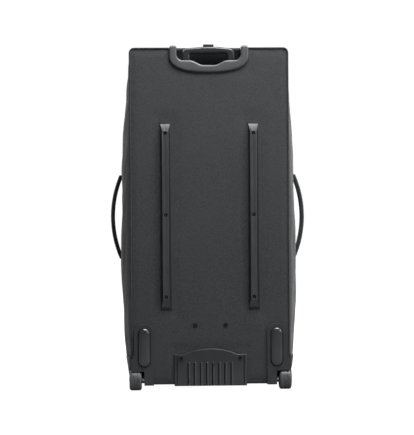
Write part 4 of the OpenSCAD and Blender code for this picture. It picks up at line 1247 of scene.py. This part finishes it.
def rolled(u, v):
    """The haul handle's rolled grip: a stuffed tube whose ends are closed by a turned-in hem."""
    middle, half = (GRIP_LOW + GRIP_HIGH) / 2, (GRIP_HIGH.x - GRIP_LOW.x) / 2
    along = 2 * v - 1
    ends = min(1.0, (1 - abs(along)) / 0.035)
    radius = (GRIP_HIGH.z - GRIP_LOW.z) / 2 * quarter_round(ends)
    radius *= 1 - 0.05 * math.exp(-((abs(along) - 0.93) / 0.012) ** 2) + 0.012 * math.sin(along * 40)
    radius = min(radius, (GRIP_HIGH.z - GRIP_LOW.z) / 2)
    angle = u * math.tau
    return Vector((middle.x + along * half, middle.y + radius * math.cos(angle), middle.z + radius * math.sin(angle)))


grip = as_piece("haul_roll", outward(surface(32, 120, rolled, size=(0.0377, 0.18), wrap=True)), WEBBING,
                "haul_loop", "webbing", smooth=60)
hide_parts("haul_grip")

# ---------------------------------------------------------------- cover over the handle tubes, inside
COVER_LOW, COVER_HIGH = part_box("trolley_cover")
bm = slab(oblong(COVER_LOW.x, COVER_HIGH.x, COVER_LOW.z, COVER_HIGH.z), COVER_LOW.y, COVER_HIGH.y)
open_faces = [f for f in bm.faces if all(v.co.y < COVER_LOW.y + 1e-5 for v in f.verts)
              or all(v.co.z > COVER_HIGH.z - 1e-5 for v in f.verts)]
bmesh.ops.delete(bm, geom=open_faces, context="FACES_ONLY")
bevel(bm, [e for e in bm.edges if len(e.link_faces) == 2], 0.009, 5)
bmesh.ops.subdivide_edges(bm, edges=[e for e in bm.edges if e.calc_length() > 0.1], cuts=40, use_grid_fill=True)
for vert in bm.verts:
    slack_here = min(1.0, (vert.co.y - COVER_LOW.y) / 0.02)
    waver = noise.noise(Vector((vert.co.x * 14, vert.co.y * 20, vert.co.z * 9)))
    vert.co.y -= 0.0035 * slack_here * (0.5 + waver) * (1 if vert.co.y > COVER_HIGH.y - 0.004 else 0.4)
cover = as_piece("trolley_cover_cloth", outward(bm), COVER_CLOTH, "bag", "lining", smooth=60)
thicken(cover, 0.0012)
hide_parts("trolley_cover")

# ---------------------------------------------------------------- hidden hardware and remaining solids
PLAIN = {"back_board": SHEET_PLASTIC, "bottom_board": SHEET_PLASTIC}
PLAIN |= dict.fromkeys(("tube_bracket", "tube_bushes", "lock_blocks"), PLASTIC_BLACK)
PLAIN |= dict.fromkeys(("lock_pin_left", "lock_pin_right", "release_rods", "rail_nuts", "axles", "bearings_left",
                        "bearings_right"), BRIGHT_STEEL)
for cad_node, material in PLAIN.items():
    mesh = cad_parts[cad_node].data
    mesh.materials.clear()
    mesh.materials.append(material)

# ---------------------------------------------------------------- floor, light and camera
scene = bpy.context.scene
ROOM = 0.068              # light from the room itself, against the white that the camera sees
paper, paper_tree, paper_shader = new_material("studio_paper")
grain = noise_of(paper_tree, coordinates_of(paper_tree, "Object"), 40.0)
paper_seen = node(paper_tree, "ShaderNodeLightPath").outputs["Is Camera Ray"]
feed(paper_tree, paper_shader, Base_Color=ramp(paper_tree, grain, (0.24,) * 3, (0.27,) * 3), Roughness=0.9,
     Emission_Color=(1, 1, 1, 1), Emission_Strength=times(paper_tree, paper_seen, 1.0))


def sweep(u, v):
    """Floor that curves up into a wall far in front of the bag."""
    run = v * 24.0
    x = (u - 0.5) * 20.0
    flat, bend = 15.0, 1.5
    if run < flat:
        return Vector((x, -6.0 + run, 0))
    angle = min((run - flat) / bend, math.pi / 2)
    beyond = max(0.0, run - flat - bend * math.pi / 2)
    return Vector((x, -6.0 + flat + bend * math.sin(angle), bend * (1 - math.cos(angle)) + beyond))


floor = as_piece("studio_floor", facing(surface(8, 60, sweep), Vector((0, -0.2, 1))), paper, None)
floor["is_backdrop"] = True

world = bpy.data.worlds.new("studio")
scene.world = world
world.use_nodes = True
seen = node(world.node_tree, "ShaderNodeLightPath").outputs["Is Camera Ray"]
feed(world.node_tree, world.node_tree.nodes["Background"], Color=(1, 1, 1, 1),
     Strength=remap(world.node_tree, seen, ROOM, 1.0))


def soft_light(name, place, target, size, watts):
    data = bpy.data.lights.new(name, "AREA")
    data.shape = "RECTANGLE"
    data.size, data.size_y = size
    data.energy = watts
    lamp = bpy.data.objects.new(name, data)
    scene.collection.objects.link(lamp)
    lamp.location = place
    lamp.rotation_euler = (Vector(target) - Vector(place)).to_track_quat("-Z", "Y").to_euler()
    lamp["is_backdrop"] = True


soft_light("top_box", (0.45, -0.75, 2.2), (0, -0.15, 0.4), (1.6, 0.9), 85)
soft_light("front_fill", (2.1, -2.5, 1.5), (0, 0, 0.45), (1.2, 1.2), 9)
soft_light("right_strip", (1.7, -1.0, 1.2), (0.1, 0, 0.5), (0.4, 1.4), 12)
soft_light("left_rim", (-1.8, 0.45, 1.1), (-0.2, 0, 0.4), (0.6, 1.8), 12)
soft_light("lid_side_fill", (-1.0, 3.2, 2.2), (0, 0, 0.4), (2.0, 2.0), 70)

camera_data = bpy.data.cameras.new("camera")
camera = bpy.data.objects.new("camera", camera_data)
scene.collection.objects.link(camera)
camera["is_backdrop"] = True
aim = Vector((-0.00675, BACK_Y, 0.433))
turn = math.radians(2.0)
distance = 4.0
camera.location = aim + Vector((-math.sin(turn) * distance, -math.cos(turn) * distance, 0.05))
facing_bag = (aim - camera.location).to_track_quat("-Z", "Y").to_matrix()
camera.rotation_euler = (facing_bag @ Matrix.Rotation(math.radians(-0.38), 3, "Z")).to_euler()
camera_data.sensor_fit = "VERTICAL"
camera_data.sensor_height = 36
camera_data.lens = 36 * distance / 1.0875
camera_data.dof.use_dof = False
scene.camera = camera
scene.view_settings.view_transform = "Standard"

# ---------------------------------------------------------------- size and finish
bpy.context.view_layer.update()
low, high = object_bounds()
{"cad": [list(cad_low), list(cad_high)], "visual": [list(low), list(high)]}
